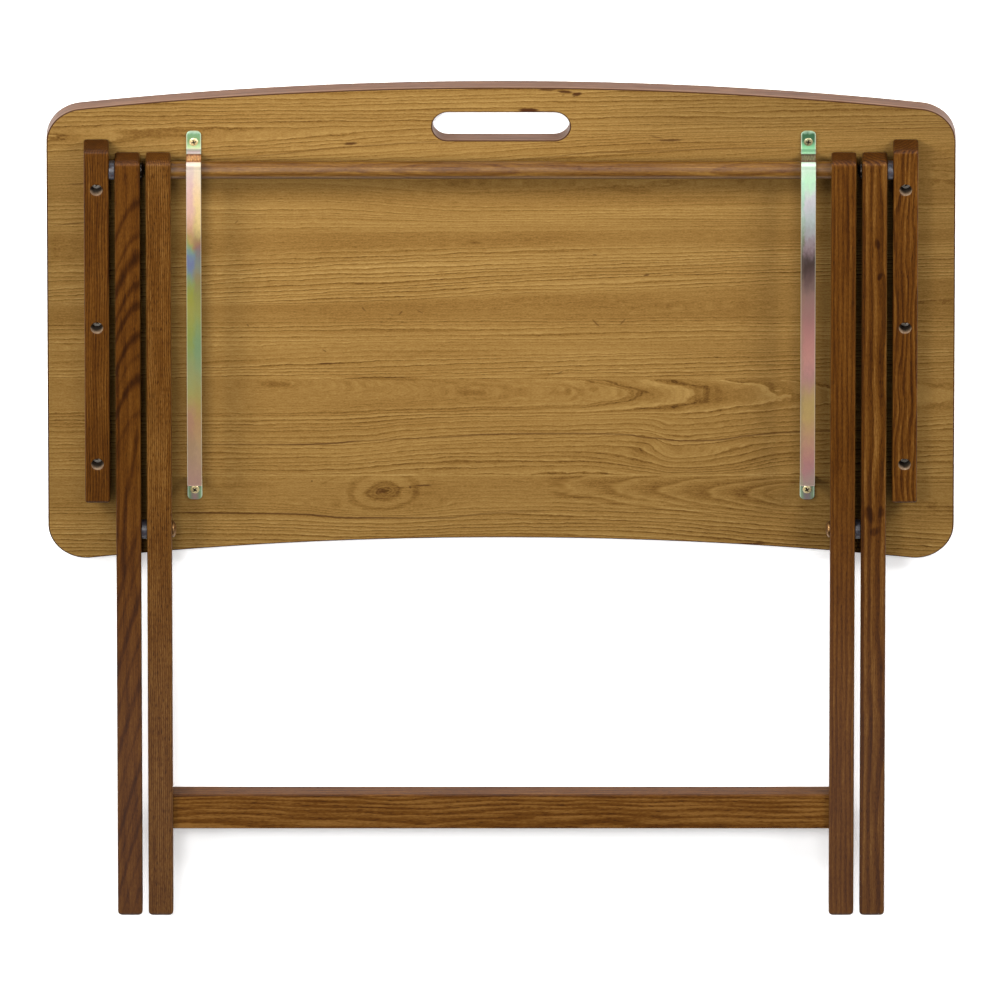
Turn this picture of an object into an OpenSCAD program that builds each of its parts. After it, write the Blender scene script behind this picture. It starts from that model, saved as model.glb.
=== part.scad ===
// Folding tray table, folded flat and lying on the top of its tray.
// X runs across the table, and Y along the legs from their feet to the edge
// with the hand slot. The underside of the tray, with the legs, faces up.
// Values named *_s are distances from the feet along Y, and values named *_t
// are depths above the tray's underside.

/* [Tray] */
// Width of the tray
tray_w = 709; // [640:1:760]
// Thickness of the tray board
tray_th = 12; // [10:0.5:16]
// Distance from the feet to the middle of the tray's convex long edge
tray_top_s = 725; // [722:0.5:735]
// Distance from the feet to the middle of the tray's concave long edge
tray_low_s = 326; // [300:1:335]
// Radius of both long edges
edge_r = 2868; // [1500:1:6000]
// Radius of the four corners
corner_r = 30; // [20:1:45]
// Thickness of the banding on the edges
band_th = 1; // [0.6:0.1:2]
// Width of the hand slot
slot_w = 107.3; // [90:0.1:130]
// Length of the hand slot along Y
slot_h = 24.6; // [20:0.1:28]
// Distance from the feet to the middle of the hand slot
slot_s = 690.7; // [688:0.1:696]
// Straight pieces that make up each rounded corner
corner_n = 14; // [8:1:24]
// Straight pieces that make up each long edge
edge_n = 56; // [24:2:96]

/* [Side rails] */
// Length of a side rail
rail_len = 312.5; // [305:0.5:330]
// Distance from the feet to the near end of a side rail
rail_low_s = 368; // [360:0.5:375]
// Depth of a side rail
rail_d = 22; // [21:0.5:24]
// Diameter of the counterbores for the rail screws
rail_cbore_d = 9.8; // [9:0.1:11]
// Depth of the counterbores for the rail screws
rail_cbore_deep = 12; // [9:0.5:14]

/* [Legs] */
// Width of every leg and rail
leg_w = 19.5; // [18:0.5:21]
// Depth of every leg
leg_d = 20; // [18:0.5:20]
// Length of every leg
leg_len = 672; // [670:0.5:680]
// Distance between the middles of neighbouring legs
leg_pitch = 24.15; // [24:0.05:26]
// Distance of the middle of an inner leg from the table's middle
inner_leg_x = 267.2; // [262:0.1:275]
// Radius at the front and back of the leg ends
leg_end_r = 4; // [4:0.5:6]
// Width of the chamfer on the long edges
edge_c = 1.2; // [0.6:0.1:2]

/* [Pivots] */
// Distance from the feet to the rail pivots and the sliding crossbar
pivot_s = 660; // [658:0.5:662]
// Distance from the feet to the pivots where the legs cross
cross_s = 341.5; // [335:0.5:348]
// Distance of all pivot axes from the tray's underside
axis_t = 14.5; // [14.5:0.1:15]
// Diameter of the pivot bolts
bolt_d = 6; // [5:0.5:6]
// Outer diameter of the spacer washers
washer_d = 15; // [13:0.5:18]
// Free play of a washer against the moving leg
washer_play = 0.15; // [0.1:0.05:0.3]

/* [Crossbars] */
// Diameter of the sliding crossbar
dowel_d = 14; // [12:0.5:15]
// Width of the stretcher board along Y
stretcher_h = 30.5; // [25:0.5:40]
// Depth of the stretcher board
stretcher_d = 15; // [12:0.5:16]
// Distance from the feet to the stretcher
stretcher_s = 76.5; // [40:0.5:120]

/* [Guide straps] */
// Distance of a guide strap from the table's middle
strap_x = 239.6; // [225:0.1:242]
// Width of a guide strap
strap_w = 11.5; // [10:0.5:13]
// Thickness of a guide strap
strap_th = 1.5; // [1:0.1:1.5]
// Clear height under a guide strap
strap_gap = 25.5; // [25:0.1:26]

/* [Hidden] */

$fn = 64;
fit = 0.05;                       // radial clearance of pins and shafts

laminate = [0.62, 0.43, 0.20];
band_brown = [0.36, 0.22, 0.15];
stain = [0.40, 0.24, 0.11];
zinc = [0.82, 0.76, 0.55];
brass = [0.72, 0.58, 0.30];
steel = [0.72, 0.72, 0.70];
nylon = [0.82, 0.82, 0.82];

strap_out = strap_gap + strap_th;
mid_s = tray_top_s / 2;                    // lies at the origin
outer_leg_x = inner_leg_x + leg_pitch;
rail_x = inner_leg_x + 2 * leg_pitch;
leg_gap = leg_pitch - leg_w;
inner_face = inner_leg_x - leg_w / 2;      // faces towards the middle
rail_screw_s = [rail_low_s + 35, rail_low_s + 156, rail_low_s + 278];
insert_d = 9;
insert_len = 12;
bar_end = 13;                              // crossbar seated in a leg
bar_bore = 13.5;
pin_d = 6;
pin_len = 15;                              // into each piece
stretcher_t0 = 5.5;
strap_top_s = 671.5;                       // outer upper bend
strap_top_base = 666.8;                    // upper bend on the tray
strap_low_s = 386.5;                       // outer lower bend
strap_low_base = 381;                      // lower bend on the tray
tab_top_s = 687;
tab_low_s = 361;
screw_top_s = 677.8;
screw_low_s = 369.7;
screw_core = 3.5;
screw_head = 7;
sink = strap_th - 0.2;                     // depth of a screw head's cone

// ---- helpers ----

// places children at x, at t above the underside, at s from the feet
module at(x, t, s) translate([x, s - mid_s, tray_th + t]) children();

// turns the local Z axis to run along +X
module along_x() rotate([0, 90, 0]) children();

// stands a drawing of depth and distance up, and extrudes it along -X
module side_view(w) rotate([0, -90, 0]) linear_extrude(w) children();

// rectangle with true round corners, from the origin
module round_rect(w, h, r) {
    translate([r, 0]) square([w - 2 * r, h]);
    translate([0, r]) square([w, h - 2 * r]);
    for (i = [0, 1], j = [0, 1])
        translate([r + i * (w - 2 * r), r + j * (h - 2 * r)]) circle(r);
}

// rectangle with cut corners, centred
module cut_rect(w, h, c) polygon([
    [-w / 2 + c, -h / 2], [w / 2 - c, -h / 2], [w / 2, -h / 2 + c],
    [w / 2, h / 2 - c], [w / 2 - c, h / 2], [-w / 2 + c, h / 2],
    [-w / 2, h / 2 - c], [-w / 2, -h / 2 + c]]);

// points of a circular arc from angle a0 to a1, without its two ends
function arc_inside(c, r, a0, a1, n) = [for (i = [1:n - 1])
    let (a = a0 + (a1 - a0) * i / n) [c[0] + r * cos(a), c[1] + r * sin(a)]];
// the same with both ends
function arc_whole(c, r, a0, a1, n) = [for (i = [0:n])
    let (a = a0 + (a1 - a0) * i / n) [c[0] + r * cos(a), c[1] + r * sin(a)]];

// the tray's outline, moved inwards by g
module tray_outline(g) {
    hw = tray_w / 2 - g;
    r = corner_r - g;
    rt = edge_r - g;
    rb = edge_r + g;
    cx = hw - r;
    top_c = tray_top_s - edge_r;
    low_c = tray_low_s - edge_r;
    cy_top = top_c + sqrt((rt - r) * (rt - r) - cx * cx);
    cy_low = low_c + sqrt((rb + r) * (rb + r) - cx * cx);
    at_top = asin(cx / (rt - r));
    at_low = asin(cx / (rb + r));
    polygon(concat(
        arc_whole([cx, cy_low], r, -90 - at_low, 0, corner_n),
        arc_whole([cx, cy_top], r, 0, 90 - at_top, corner_n),
        arc_inside([0, top_c], rt, 90 - at_top, 90 + at_top, edge_n),
        arc_whole([-cx, cy_top], r, 90 + at_top, 180, corner_n),
        arc_whole([-cx, cy_low], r, 180, 270 + at_low, corner_n),
        arc_inside([0, low_c], rb, 90 + at_low, 90 - at_low, edge_n)));
}

// the hand slot's outline, moved outwards by g
module slot_outline(g) {
    h = slot_h + 2 * g;
    w = slot_w + 2 * g;
    translate([-(w - h) / 2, slot_s - h / 2]) square([w - h, h]);
    for (m = [-1, 1]) translate([m * (w - h) / 2, slot_s]) circle(h / 2);
}

// a flat plate of the tray's thickness from an outline
module tray_plate() translate([0, -mid_s, 0]) linear_extrude(tray_th) children();

// squared timber with rounded ends and chamfered long edges,
// from s0 to s1, from depth t0 to t1, centred on x
module timber(x, w, t0, t1, s0, s1, end_r) {
    d = t1 - t0;
    intersection() {
        at(x, (t0 + t1) / 2, s0) rotate([-90, 0, 0])
            linear_extrude(s1 - s0) cut_rect(w, d, edge_c);
        at(x + w / 2, t0, s0) side_view(w) round_rect(d, s1 - s0, end_r);
        at(x - w / 2, t0, s0) linear_extrude(d) round_rect(w, s1 - s0, 2.2);
    }
}

// bore along X at depth t and distance s, between x0 and x1
module bore_x(x0, x1, t, s, d) at(min(x0, x1), t, s)
    along_x() cylinder(h = abs(x1 - x0), d = d);

// ring along X between x0 and x1
module ring_x(x0, x1, t, s, d, hole) difference() {
    bore_x(x0, x1, t, s, d);
    bore_x(min(x0, x1) - 1, max(x0, x1) + 1, t, s, hole);
}

// crossed slots of a screw or bolt head, cut down from the local z = 0
module cross_recess(size, deep) for (a = [0, 90]) rotate([0, 0, a])
    translate([-size / 2, -size / 10, -deep]) cube([size, size / 5, deep + 5]);

// countersunk wood screw, its head's rim at local z = 0, its tip at -len
module flat_screw(len, core, head) difference() {
    rotate_extrude() polygon([[0, -len], [core * 0.12, -len],
        [core / 2, -len + core], [core / 2, -sink], [head / 2, -0.1],
        [head / 2 - 0.4, 0.45], [head / 4, 0.65], [0, 0.7]]);
    translate([0, 0, 0.6]) cross_recess(head * 0.5, 1);
}

// pan-head wood screw, its seat at local z = 0, its tip at -len
module pan_screw(len, core, head) difference() {
    rotate_extrude() polygon([[0, -len], [core * 0.12, -len],
        [core / 2, -len + core], [core / 2, 0], [head / 2, 0],
        [head / 2, 1.1], [head / 2 - 0.7, 2.1], [head / 2 - 2.2, 2.6], [0, 2.7]]);
    translate([0, 0, 2.7]) cross_recess(head * 0.55, 1.4);
}

// the bent strip of a guide strap: its centre line in depth and distance
strip = [[strap_th / 2, tab_top_s], [strap_th / 2, strap_top_base],
    [strap_gap + strap_th / 2, strap_top_s],
    [strap_gap + strap_th / 2, strap_low_s],
    [strap_th / 2, strap_low_base], [strap_th / 2, tab_low_s]];
function unit(v) = v / norm(v);
function left_of(v) = [-v[1], v[0]];
// point k of the strip's outline on one side
function mitre(p, k, h) =
    let (a = k == 0 ? unit(p[1] - p[0]) : unit(p[k] - p[k - 1]),
         b = k == len(p) - 1 ? a : unit(p[k + 1] - p[k]),
         n = unit(left_of(a) + left_of(b)))
    p[k] + n * (h / (n * left_of(a)));

module strap(m) difference() {
    intersection() {
        at(m * strap_x + strap_w / 2, 0, 0) side_view(strap_w) polygon(concat(
            [for (k = [0:len(strip) - 1]) mitre(strip, k, strap_th / 2)],
            [for (k = [len(strip) - 1:-1:0]) mitre(strip, k, -strap_th / 2)]));
        // clipped ends of the two tabs
        at(m * strap_x, -1, (tab_top_s + tab_low_s) / 2)
            linear_extrude(strap_out + 3)
                cut_rect(strap_w, tab_top_s - tab_low_s, 2.6);
    }
    // countersunk holes, a little wider than the screws
    for (s = [screw_top_s, screw_low_s]) at(m * strap_x, strap_th, s)
        rotate_extrude() polygon([
            [0, -strap_th - 1], [screw_core / 2 + 0.06, -strap_th - 1],
            [screw_core / 2 + 0.06, -sink], [screw_head / 2 + 0.06, -0.1],
            [screw_head / 2 + 0.06, 2], [0, 2]]);
}

module side_rail(m) difference() {
    timber(m * rail_x, leg_w, 0, rail_d, rail_low_s, rail_low_s + rail_len, 3);
    for (s = rail_screw_s) at(m * rail_x, 0, s) {
        translate([0, 0, -1]) cylinder(h = rail_d + 2, d = 4.1);
        translate([0, 0, rail_d - rail_cbore_deep])
            cylinder(h = rail_d, d = rail_cbore_d);
    }
    bore_x(m * (rail_x - leg_w / 2 - 1), m * (rail_x - leg_w / 2 + insert_len),
        axis_t, pivot_s, insert_d);
    bore_x(m * (rail_x - leg_w / 2), m * (rail_x - leg_w / 2 + insert_len + 2),
        axis_t, pivot_s, bolt_d + 0.4);
}

module top_pivot_bolt(m) {
    face = outer_leg_x - leg_w / 2;
    tip = rail_x - leg_w / 2 + insert_len + 1;
    bore_x(m * (face - 0.1), m * tip, axis_t, pivot_s, bolt_d);
    at(m * (face - 0.1), axis_t, pivot_s) rotate([0, -m * 90, 0]) difference() {
        rotate_extrude() polygon([[0, 0], [6.5, 0], [6.5, 1.2], [5.6, 2.3],
            [3.6, 3], [0, 3.2]]);
        translate([0, 0, 3.2]) cylinder(h = 3, r = 2, $fn = 6, center = true);
    }
}

module top_pivot_insert(m) {
    face = rail_x - leg_w / 2;
    ring_x(m * face, m * (face + insert_len), axis_t, pivot_s,
        insert_d - 0.02, bolt_d + 2 * 0.02);
}

module top_pivot_washer(m) ring_x(m * (rail_x - leg_w / 2),
    m * (rail_x - leg_w / 2 - leg_gap + washer_play),
    axis_t, pivot_s, washer_d, bolt_d + 0.1);

module outer_leg(m) difference() {
    timber(m * outer_leg_x, leg_w, axis_t - leg_d / 2, axis_t + leg_d / 2,
        0, leg_len, leg_end_r);
    bore_x(m * (outer_leg_x - leg_w), m * (outer_leg_x + leg_w),
        axis_t, pivot_s, bolt_d + 2 * fit);
    bore_x(m * (outer_leg_x - leg_w / 2 - 1),
        m * (outer_leg_x - leg_w / 2 + insert_len), axis_t, cross_s, insert_d);
}

module cross_pivot_insert(m) {
    face = outer_leg_x - leg_w / 2;
    ring_x(m * face, m * (face + insert_len), axis_t, cross_s,
        insert_d - 0.02, bolt_d);
}

module inner_leg(m) difference() {
    timber(m * inner_leg_x, leg_w, axis_t - leg_d / 2, axis_t + leg_d / 2,
        0, leg_len, leg_end_r);
    bore_x(m * (inner_face - 1), m * (inner_face + bar_bore), axis_t, pivot_s,
        dowel_d + 2 * fit);
    bore_x(m * (inner_leg_x - leg_w), m * (inner_leg_x + leg_w),
        axis_t, cross_s, bolt_d + 2 * fit);
    for (g = [9, stretcher_h - 9]) bore_x(m * (inner_face - 1),
        m * (inner_face + pin_len), stretcher_t0 + stretcher_d / 2,
        stretcher_s + g, pin_d);
}

module cross_pivot_bolt(m) {
    shear = inner_leg_x + leg_w / 2 + leg_gap - washer_play;
    bore_x(m * (inner_face - 0.1), m * shear, axis_t, cross_s, bolt_d);
    at(m * inner_face, axis_t, cross_s) rotate([0, -m * 90, 0]) difference() {
        rotate_extrude() polygon([[0, 0], [6.4, 0], [6.4, 1.2], [5.8, 2.4],
            [4.4, 3.5], [2.4, 4.1], [0, 4.3]]);
        translate([0, 0, 4.3]) cylinder(h = 4, r = 2.2, $fn = 6, center = true);
    }
}

module cross_pivot_washer(m) ring_x(m * (inner_leg_x + leg_w / 2),
    m * (inner_leg_x + leg_w / 2 + leg_gap - washer_play),
    axis_t, cross_s, washer_d, bolt_d + 0.1);

// ---- pieces ----

module tray_board() color(laminate) difference() {
    tray_plate() difference() {
        tray_outline(band_th);
        slot_outline(band_th);
    }
    for (m = [-1, 1]) {
        for (s = rail_screw_s) at(m * rail_x, 0, s)
            translate([0, 0, -9.3]) cylinder(h = 10, d = 4.1);
        for (s = [screw_top_s, screw_low_s]) at(m * strap_x, 0, s)
            translate([0, 0, -9]) cylinder(h = 10, d = screw_core + 0.12);
    }
}

module tray_edge_band() color(band_brown) tray_plate() difference() {
    tray_outline(0);
    tray_outline(band_th);
}

module handle_slot_band() color(band_brown) tray_plate() difference() {
    slot_outline(band_th);
    slot_outline(0);
}

module side_rail_left() color(stain) side_rail(-1);
module side_rail_right() color(stain) side_rail(1);

module rail_screws() color(steel) for (m = [-1, 1], s = rail_screw_s)
    at(m * rail_x, rail_d - rail_cbore_deep, s)
        pan_screw(rail_d - rail_cbore_deep + 9, 4, 8);

module guide_strap_left() color(zinc) strap(-1);
module guide_strap_right() color(zinc) strap(1);

module strap_screws() color(brass) for (m = [-1, 1],
        s = [screw_top_s, screw_low_s])
    at(m * strap_x, strap_th, s)
        flat_screw(10, screw_core, screw_head);

module top_pivot_bolt_left() color(steel) top_pivot_bolt(-1);
module top_pivot_bolt_right() color(steel) top_pivot_bolt(1);
module top_pivot_insert_left() color(brass) top_pivot_insert(-1);
module top_pivot_insert_right() color(brass) top_pivot_insert(1);
module top_pivot_washer_left() color(nylon) top_pivot_washer(-1);
module top_pivot_washer_right() color(nylon) top_pivot_washer(1);

module outer_leg_left() color(stain) outer_leg(-1);
module outer_leg_right() color(stain) outer_leg(1);
module cross_pivot_insert_left() color(brass) cross_pivot_insert(-1);
module cross_pivot_insert_right() color(brass) cross_pivot_insert(1);

module inner_leg_left() color(stain) inner_leg(-1);
module inner_leg_right() color(stain) inner_leg(1);
module cross_pivot_bolt_left() color(brass) cross_pivot_bolt(-1);
module cross_pivot_bolt_right() color(brass) cross_pivot_bolt(1);
module cross_pivot_washer_left() color(nylon) cross_pivot_washer(-1);
module cross_pivot_washer_right() color(nylon) cross_pivot_washer(1);

module stretcher() color(stain) difference() {
    // its long edges run along X
    at(-inner_face, stretcher_t0 + stretcher_d / 2, stretcher_s + stretcher_h / 2)
        along_x() linear_extrude(2 * inner_face)
            cut_rect(stretcher_d, stretcher_h, edge_c);
    for (m = [-1, 1], g = [9, stretcher_h - 9])
        bore_x(m * (inner_face - pin_len), m * (inner_face + 1),
            stretcher_t0 + stretcher_d / 2, stretcher_s + g, pin_d);
}

module stretcher_dowels() color(stain) for (m = [-1, 1],
        g = [9, stretcher_h - 9])
    bore_x(m * (inner_face - pin_len + 0.5), m * (inner_face + pin_len - 0.5),
        stretcher_t0 + stretcher_d / 2, stretcher_s + g, pin_d - 0.04);

module crossbar_dowel() color(stain)
    bore_x(-(inner_face + bar_end), inner_face + bar_end,
        axis_t, pivot_s, dowel_d);

tray_board();
tray_edge_band();
handle_slot_band();
side_rail_left();
side_rail_right();
rail_screws();
guide_strap_left();
guide_strap_right();
strap_screws();
top_pivot_bolt_left();
top_pivot_bolt_right();
top_pivot_insert_left();
top_pivot_insert_right();
top_pivot_washer_left();
top_pivot_washer_right();
outer_leg_left();
outer_leg_right();
cross_pivot_insert_left();
cross_pivot_insert_right();
inner_leg_left();
inner_leg_right();
cross_pivot_bolt_left();
cross_pivot_bolt_right();
cross_pivot_washer_left();
cross_pivot_washer_right();
stretcher();
stretcher_dowels();
crossbar_dowel();
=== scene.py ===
# Folding tray table, folded flat and lying on the top of its tray.
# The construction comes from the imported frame; this script makes the looks.
import math

import bmesh
import bpy
from mathutils import Matrix, Vector


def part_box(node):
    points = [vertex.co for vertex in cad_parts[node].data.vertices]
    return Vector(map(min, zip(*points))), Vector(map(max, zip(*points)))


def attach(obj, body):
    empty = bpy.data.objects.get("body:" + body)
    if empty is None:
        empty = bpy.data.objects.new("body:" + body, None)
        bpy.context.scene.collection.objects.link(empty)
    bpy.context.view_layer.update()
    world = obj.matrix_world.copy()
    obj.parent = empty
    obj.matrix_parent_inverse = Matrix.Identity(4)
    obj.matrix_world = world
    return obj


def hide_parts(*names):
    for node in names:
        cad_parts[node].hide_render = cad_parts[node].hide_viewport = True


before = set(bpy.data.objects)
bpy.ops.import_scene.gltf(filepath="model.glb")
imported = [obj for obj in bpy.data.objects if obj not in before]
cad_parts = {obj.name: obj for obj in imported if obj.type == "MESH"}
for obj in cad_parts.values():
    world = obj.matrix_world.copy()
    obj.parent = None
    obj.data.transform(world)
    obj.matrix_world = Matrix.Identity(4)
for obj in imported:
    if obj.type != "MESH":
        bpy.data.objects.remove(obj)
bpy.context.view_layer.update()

SCENE = bpy.context.scene
MM = 0.001


# ---------------------------------------------------------------- node graphs

class E:
    """A socket of a node graph that can be added, multiplied and so on."""

    def __init__(self, g, s):
        self.g, self.s = g, s

    def __add__(self, o): return self.g.math("ADD", self, o)
    def __radd__(self, o): return self.g.math("ADD", o, self)
    def __sub__(self, o): return self.g.math("SUBTRACT", self, o)
    def __rsub__(self, o): return self.g.math("SUBTRACT", o, self)
    def __mul__(self, o): return self.g.math("MULTIPLY", self, o)
    def __rmul__(self, o): return self.g.math("MULTIPLY", o, self)
    def __truediv__(self, o): return self.g.math("DIVIDE", self, o)
    def __neg__(self): return self.g.math("MULTIPLY", self, -1.0)


def srgb(r, g, b):
    """A colour given as it looks on a screen, 0 to 255, as scene-linear RGBA."""
    def lin(c):
        c /= 255.0
        return c / 12.92 if c <= 0.04045 else ((c + 0.055) / 1.055) ** 2.4
    return (lin(r), lin(g), lin(b), 1.0)


class Graph:
    """A material and short ways to build its nodes."""

    def __init__(self, name):
        self.mat = bpy.data.materials.new(name)
        self.mat.use_nodes = True
        self.nt = self.mat.node_tree
        self.nt.nodes.clear()
        self.out = self.nt.nodes.new("ShaderNodeOutputMaterial")
        self.bsdf = self.nt.nodes.new("ShaderNodeBsdfPrincipled")
        self.nt.links.new(self.bsdf.outputs[0], self.out.inputs[0])
        co = self.nt.nodes.new("ShaderNodeTexCoord")
        self.co = E(self, co.outputs["Object"])

    def put(self, socket, value):
        if isinstance(value, E):
            self.nt.links.new(value.s, socket)
        elif value is not None:
            socket.default_value = value

    def math(self, op, a, b=None, c=None, clamp=False):
        n = self.nt.nodes.new("ShaderNodeMath")
        n.operation, n.use_clamp = op, clamp
        for i, v in enumerate((a, b, c)):
            self.put(n.inputs[i], v)
        return E(self, n.outputs[0])

    def vmath(self, op, a, b=None, scale=None, value=False):
        n = self.nt.nodes.new("ShaderNodeVectorMath")
        n.operation = op
        self.put(n.inputs[0], a)
        if b is not None:
            self.put(n.inputs[1], b)
        if scale is not None:
            self.put(n.inputs["Scale"], scale)
        return E(self, n.outputs["Value" if value else "Vector"])

    def split(self, v):
        n = self.nt.nodes.new("ShaderNodeSeparateXYZ")
        self.put(n.inputs[0], v)
        return [E(self, o) for o in n.outputs]

    def join(self, x=0.0, y=0.0, z=0.0):
        n = self.nt.nodes.new("ShaderNodeCombineXYZ")
        for i, v in enumerate((x, y, z)):
            self.put(n.inputs[i], v)
        return E(self, n.outputs[0])

    def place(self, v, loc=(0, 0, 0), rot=(0, 0, 0), scale=(1, 1, 1)):
        """v in the local coordinates of something at loc, turned by rot, of size scale."""
        n = self.nt.nodes.new("ShaderNodeMapping")
        n.vector_type = "TEXTURE"
        self.put(n.inputs[0], v)
        n.inputs[1].default_value = loc
        n.inputs[2].default_value = rot
        n.inputs[3].default_value = scale
        return E(self, n.outputs[0])

    def noise(self, v, scale=1.0, detail=2.0, rough=0.5, distort=0.0, colour=False):
        n = self.nt.nodes.new("ShaderNodeTexNoise")
        n.noise_dimensions = "3D"
        self.put(n.inputs["Vector"], v)
        n.inputs["Scale"].default_value = scale
        n.inputs["Detail"].default_value = detail
        n.inputs["Roughness"].default_value = rough
        n.inputs["Distortion"].default_value = distort
        return E(self, n.outputs["Color" if colour else "Fac"])

    def step(self, v, a, b, lo=0.0, hi=1.0):
        """Smoothly from lo at a to hi at b."""
        n = self.nt.nodes.new("ShaderNodeMapRange")
        n.interpolation_type = "SMOOTHSTEP"
        self.put(n.inputs["Value"], v)
        for k, x in (("From Min", a), ("From Max", b), ("To Min", lo), ("To Max", hi)):
            n.inputs[k].default_value = x
        return E(self, n.outputs["Result"])

    def line(self, v, a, b, lo=0.0, hi=1.0):
        """Straight from lo at a to hi at b, and clamped."""
        n = self.nt.nodes.new("ShaderNodeMapRange")
        self.put(n.inputs["Value"], v)
        for k, x in (("From Min", a), ("From Max", b), ("To Min", lo), ("To Max", hi)):
            n.inputs[k].default_value = x
        return E(self, n.outputs["Result"])

    def ramp(self, v, stops, interp="LINEAR"):
        n = self.nt.nodes.new("ShaderNodeValToRGB")
        r = n.color_ramp
        r.interpolation = interp
        while len(r.elements) < len(stops):
            r.elements.new(1.0)
        for e, (p, c) in zip(r.elements, sorted(stops, key=lambda t: t[0])):
            e.position, e.color = p, c
        self.put(n.inputs[0], v)
        return E(self, n.outputs["Color"])

    def trace(self, v, points, smooth=True):
        """A value that follows points (position, value) of any size."""
        p0, p1 = points[0][0], points[-1][0]
        lo = min(c for _, c in points)
        hi = max(c for _, c in points)
        n = self.nt.nodes.new("ShaderNodeFloatCurve")
        n.mapping.use_clip = False
        curve = n.mapping.curves[0]
        while len(curve.points) < len(points):
            curve.points.new(0.5, 0.5)
        for k, (p, c) in enumerate(points):
            curve.points[k].location = ((p - p0) / (p1 - p0), (c - lo) / (hi - lo))
            curve.points[k].handle_type = "AUTO_CLAMPED" if smooth else "VECTOR"
        n.mapping.update()
        t = self.line(v, p0, p1)
        self.put(n.inputs["Value"], t)
        out = E(self, n.outputs[0])
        if (lo, hi) == (0, 1):
            return out
        return self.math("MULTIPLY_ADD", out, float(hi - lo), float(lo))

    def lens(self, X, S, x, y, half, thick, turn=0.0, soft=0.6, amount=1.0):
        """amount inside a thin ellipse at (x, y), falling to 0 at its border."""
        c, s = math.cos(math.radians(turn)), math.sin(math.radians(turn))
        u = self.math("MULTIPLY_ADD", X, c / half, -(x * c + y * s) / half)
        u = self.math("MULTIPLY_ADD", S, s / half, u)
        w = self.math("MULTIPLY_ADD", X, -s / thick, (x * s - y * c) / thick)
        w = self.math("MULTIPLY_ADD", S, c / thick, w)
        d = self.math("MULTIPLY_ADD", w, w, self.math("MULTIPLY", u, u))
        return self.step(d, (1.0 - soft) ** 2, 1.0, amount, 0.0)

    def most(self, *values):
        out = values[0]
        for v in values[1:]:
            out = self.math("MAXIMUM", out, v)
        return out

    def mix(self, f, a, b, how="MIX"):
        n = self.nt.nodes.new("ShaderNodeMix")
        n.data_type, n.blend_type = "RGBA", how
        n.clamp_factor = True
        self.put(n.inputs[0], f)
        self.put(n.inputs[6], a)
        self.put(n.inputs[7], b)
        return E(self, n.outputs[2])

    def bump(self, height, strength, distance):
        n = self.nt.nodes.new("ShaderNodeBump")
        n.inputs["Strength"].default_value = strength
        n.inputs["Distance"].default_value = distance
        self.put(n.inputs["Height"], height)
        self.nt.links.new(n.outputs[0], self.bsdf.inputs["Normal"])

    def shader(self, **values):
        for k, v in values.items():
            self.put(self.bsdf.inputs[k.replace("_", " ")], v)
        return self.mat


# ---------------------------------------------------------------- mesh making

def finish_mesh(name, bm, materials, sharp=38.0):
    """Turns a bmesh into an object with smooth faces and kept hard edges."""
    bmesh.ops.recalc_face_normals(bm, faces=bm.faces)
    limit = math.radians(sharp)
    for f in bm.faces:
        f.smooth = True
    for e in bm.edges:
        e.smooth = len(e.link_faces) == 2 and e.calc_face_angle(0.0) < limit
    me = bpy.data.meshes.new(name)
    bm.to_mesh(me)
    bm.free()
    for m in materials:
        me.materials.append(m)
    ob = bpy.data.objects.new(name, me)
    SCENE.collection.objects.link(ob)
    return ob


def carve(bm, cutters):
    """bm with each closed cutter mesh taken away from it."""
    me = bpy.data.meshes.new("work")
    bmesh.ops.recalc_face_normals(bm, faces=bm.faces)
    bm.to_mesh(me)
    bm.free()
    ob = bpy.data.objects.new("work", me)
    SCENE.collection.objects.link(ob)
    made = [ob]
    for i, c in enumerate(cutters):
        cm = bpy.data.meshes.new("cut")
        bmesh.ops.recalc_face_normals(c, faces=c.faces)
        c.to_mesh(cm)
        c.free()
        co = bpy.data.objects.new("cut", cm)
        SCENE.collection.objects.link(co)
        made.append(co)
        m = ob.modifiers.new("b%d" % i, "BOOLEAN")
        m.operation, m.solver, m.object = "DIFFERENCE", "EXACT", co
    dg = bpy.context.evaluated_depsgraph_get()
    dg.update()
    out = bmesh.new()
    got = bpy.data.meshes.new_from_object(ob.evaluated_get(dg))
    out.from_mesh(got)
    for o in made:
        d = o.data
        bpy.data.objects.remove(o)
        bpy.data.meshes.remove(d)
    bpy.data.meshes.remove(got)
    return out


def add_to(bm, other):
    """Adds the bmesh other to bm."""
    me = bpy.data.meshes.new("tmp")
    other.to_mesh(me)
    other.free()
    bm.from_mesh(me)
    bpy.data.meshes.remove(me)


def lathe(profile, centre, axis="z", n=48, flip=False):
    """A closed turned solid. profile runs from one end of the axis to the other as
    (radius, distance); a radius of 0 closes it. Closed rings join their ends."""
    bm = bmesh.new()
    rings = []
    closed = profile[0][0] > 0 or profile[-1][0] > 0
    for r, h in profile:
        ring = []
        for k in range(n if r > 1e-9 else 1):
            a = 2 * math.pi * k / n
            ring.append(bm.verts.new((r * math.cos(a), r * math.sin(a), -h if flip else h)))
        rings.append(ring)
    pairs = list(zip(rings, rings[1:])) + ([(rings[-1], rings[0])] if closed else [])
    for a, b in pairs:
        if len(a) == 1 and len(b) == 1:
            continue
        for k in range(n):
            j = (k + 1) % n
            if len(a) == 1:
                bm.faces.new((a[0], b[k], b[j]))
            elif len(b) == 1:
                bm.faces.new((a[k], a[j], b[0]))
            else:
                bm.faces.new((a[k], a[j], b[j], b[k]))
    turn = {"z": Matrix.Identity(3), "x": Matrix.Rotation(math.radians(90), 3, "Y"),
            "-x": Matrix.Rotation(math.radians(-90), 3, "Y")}[axis]
    for v in bm.verts:
        v.co = turn @ v.co + Vector(centre)
    return bm


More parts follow.
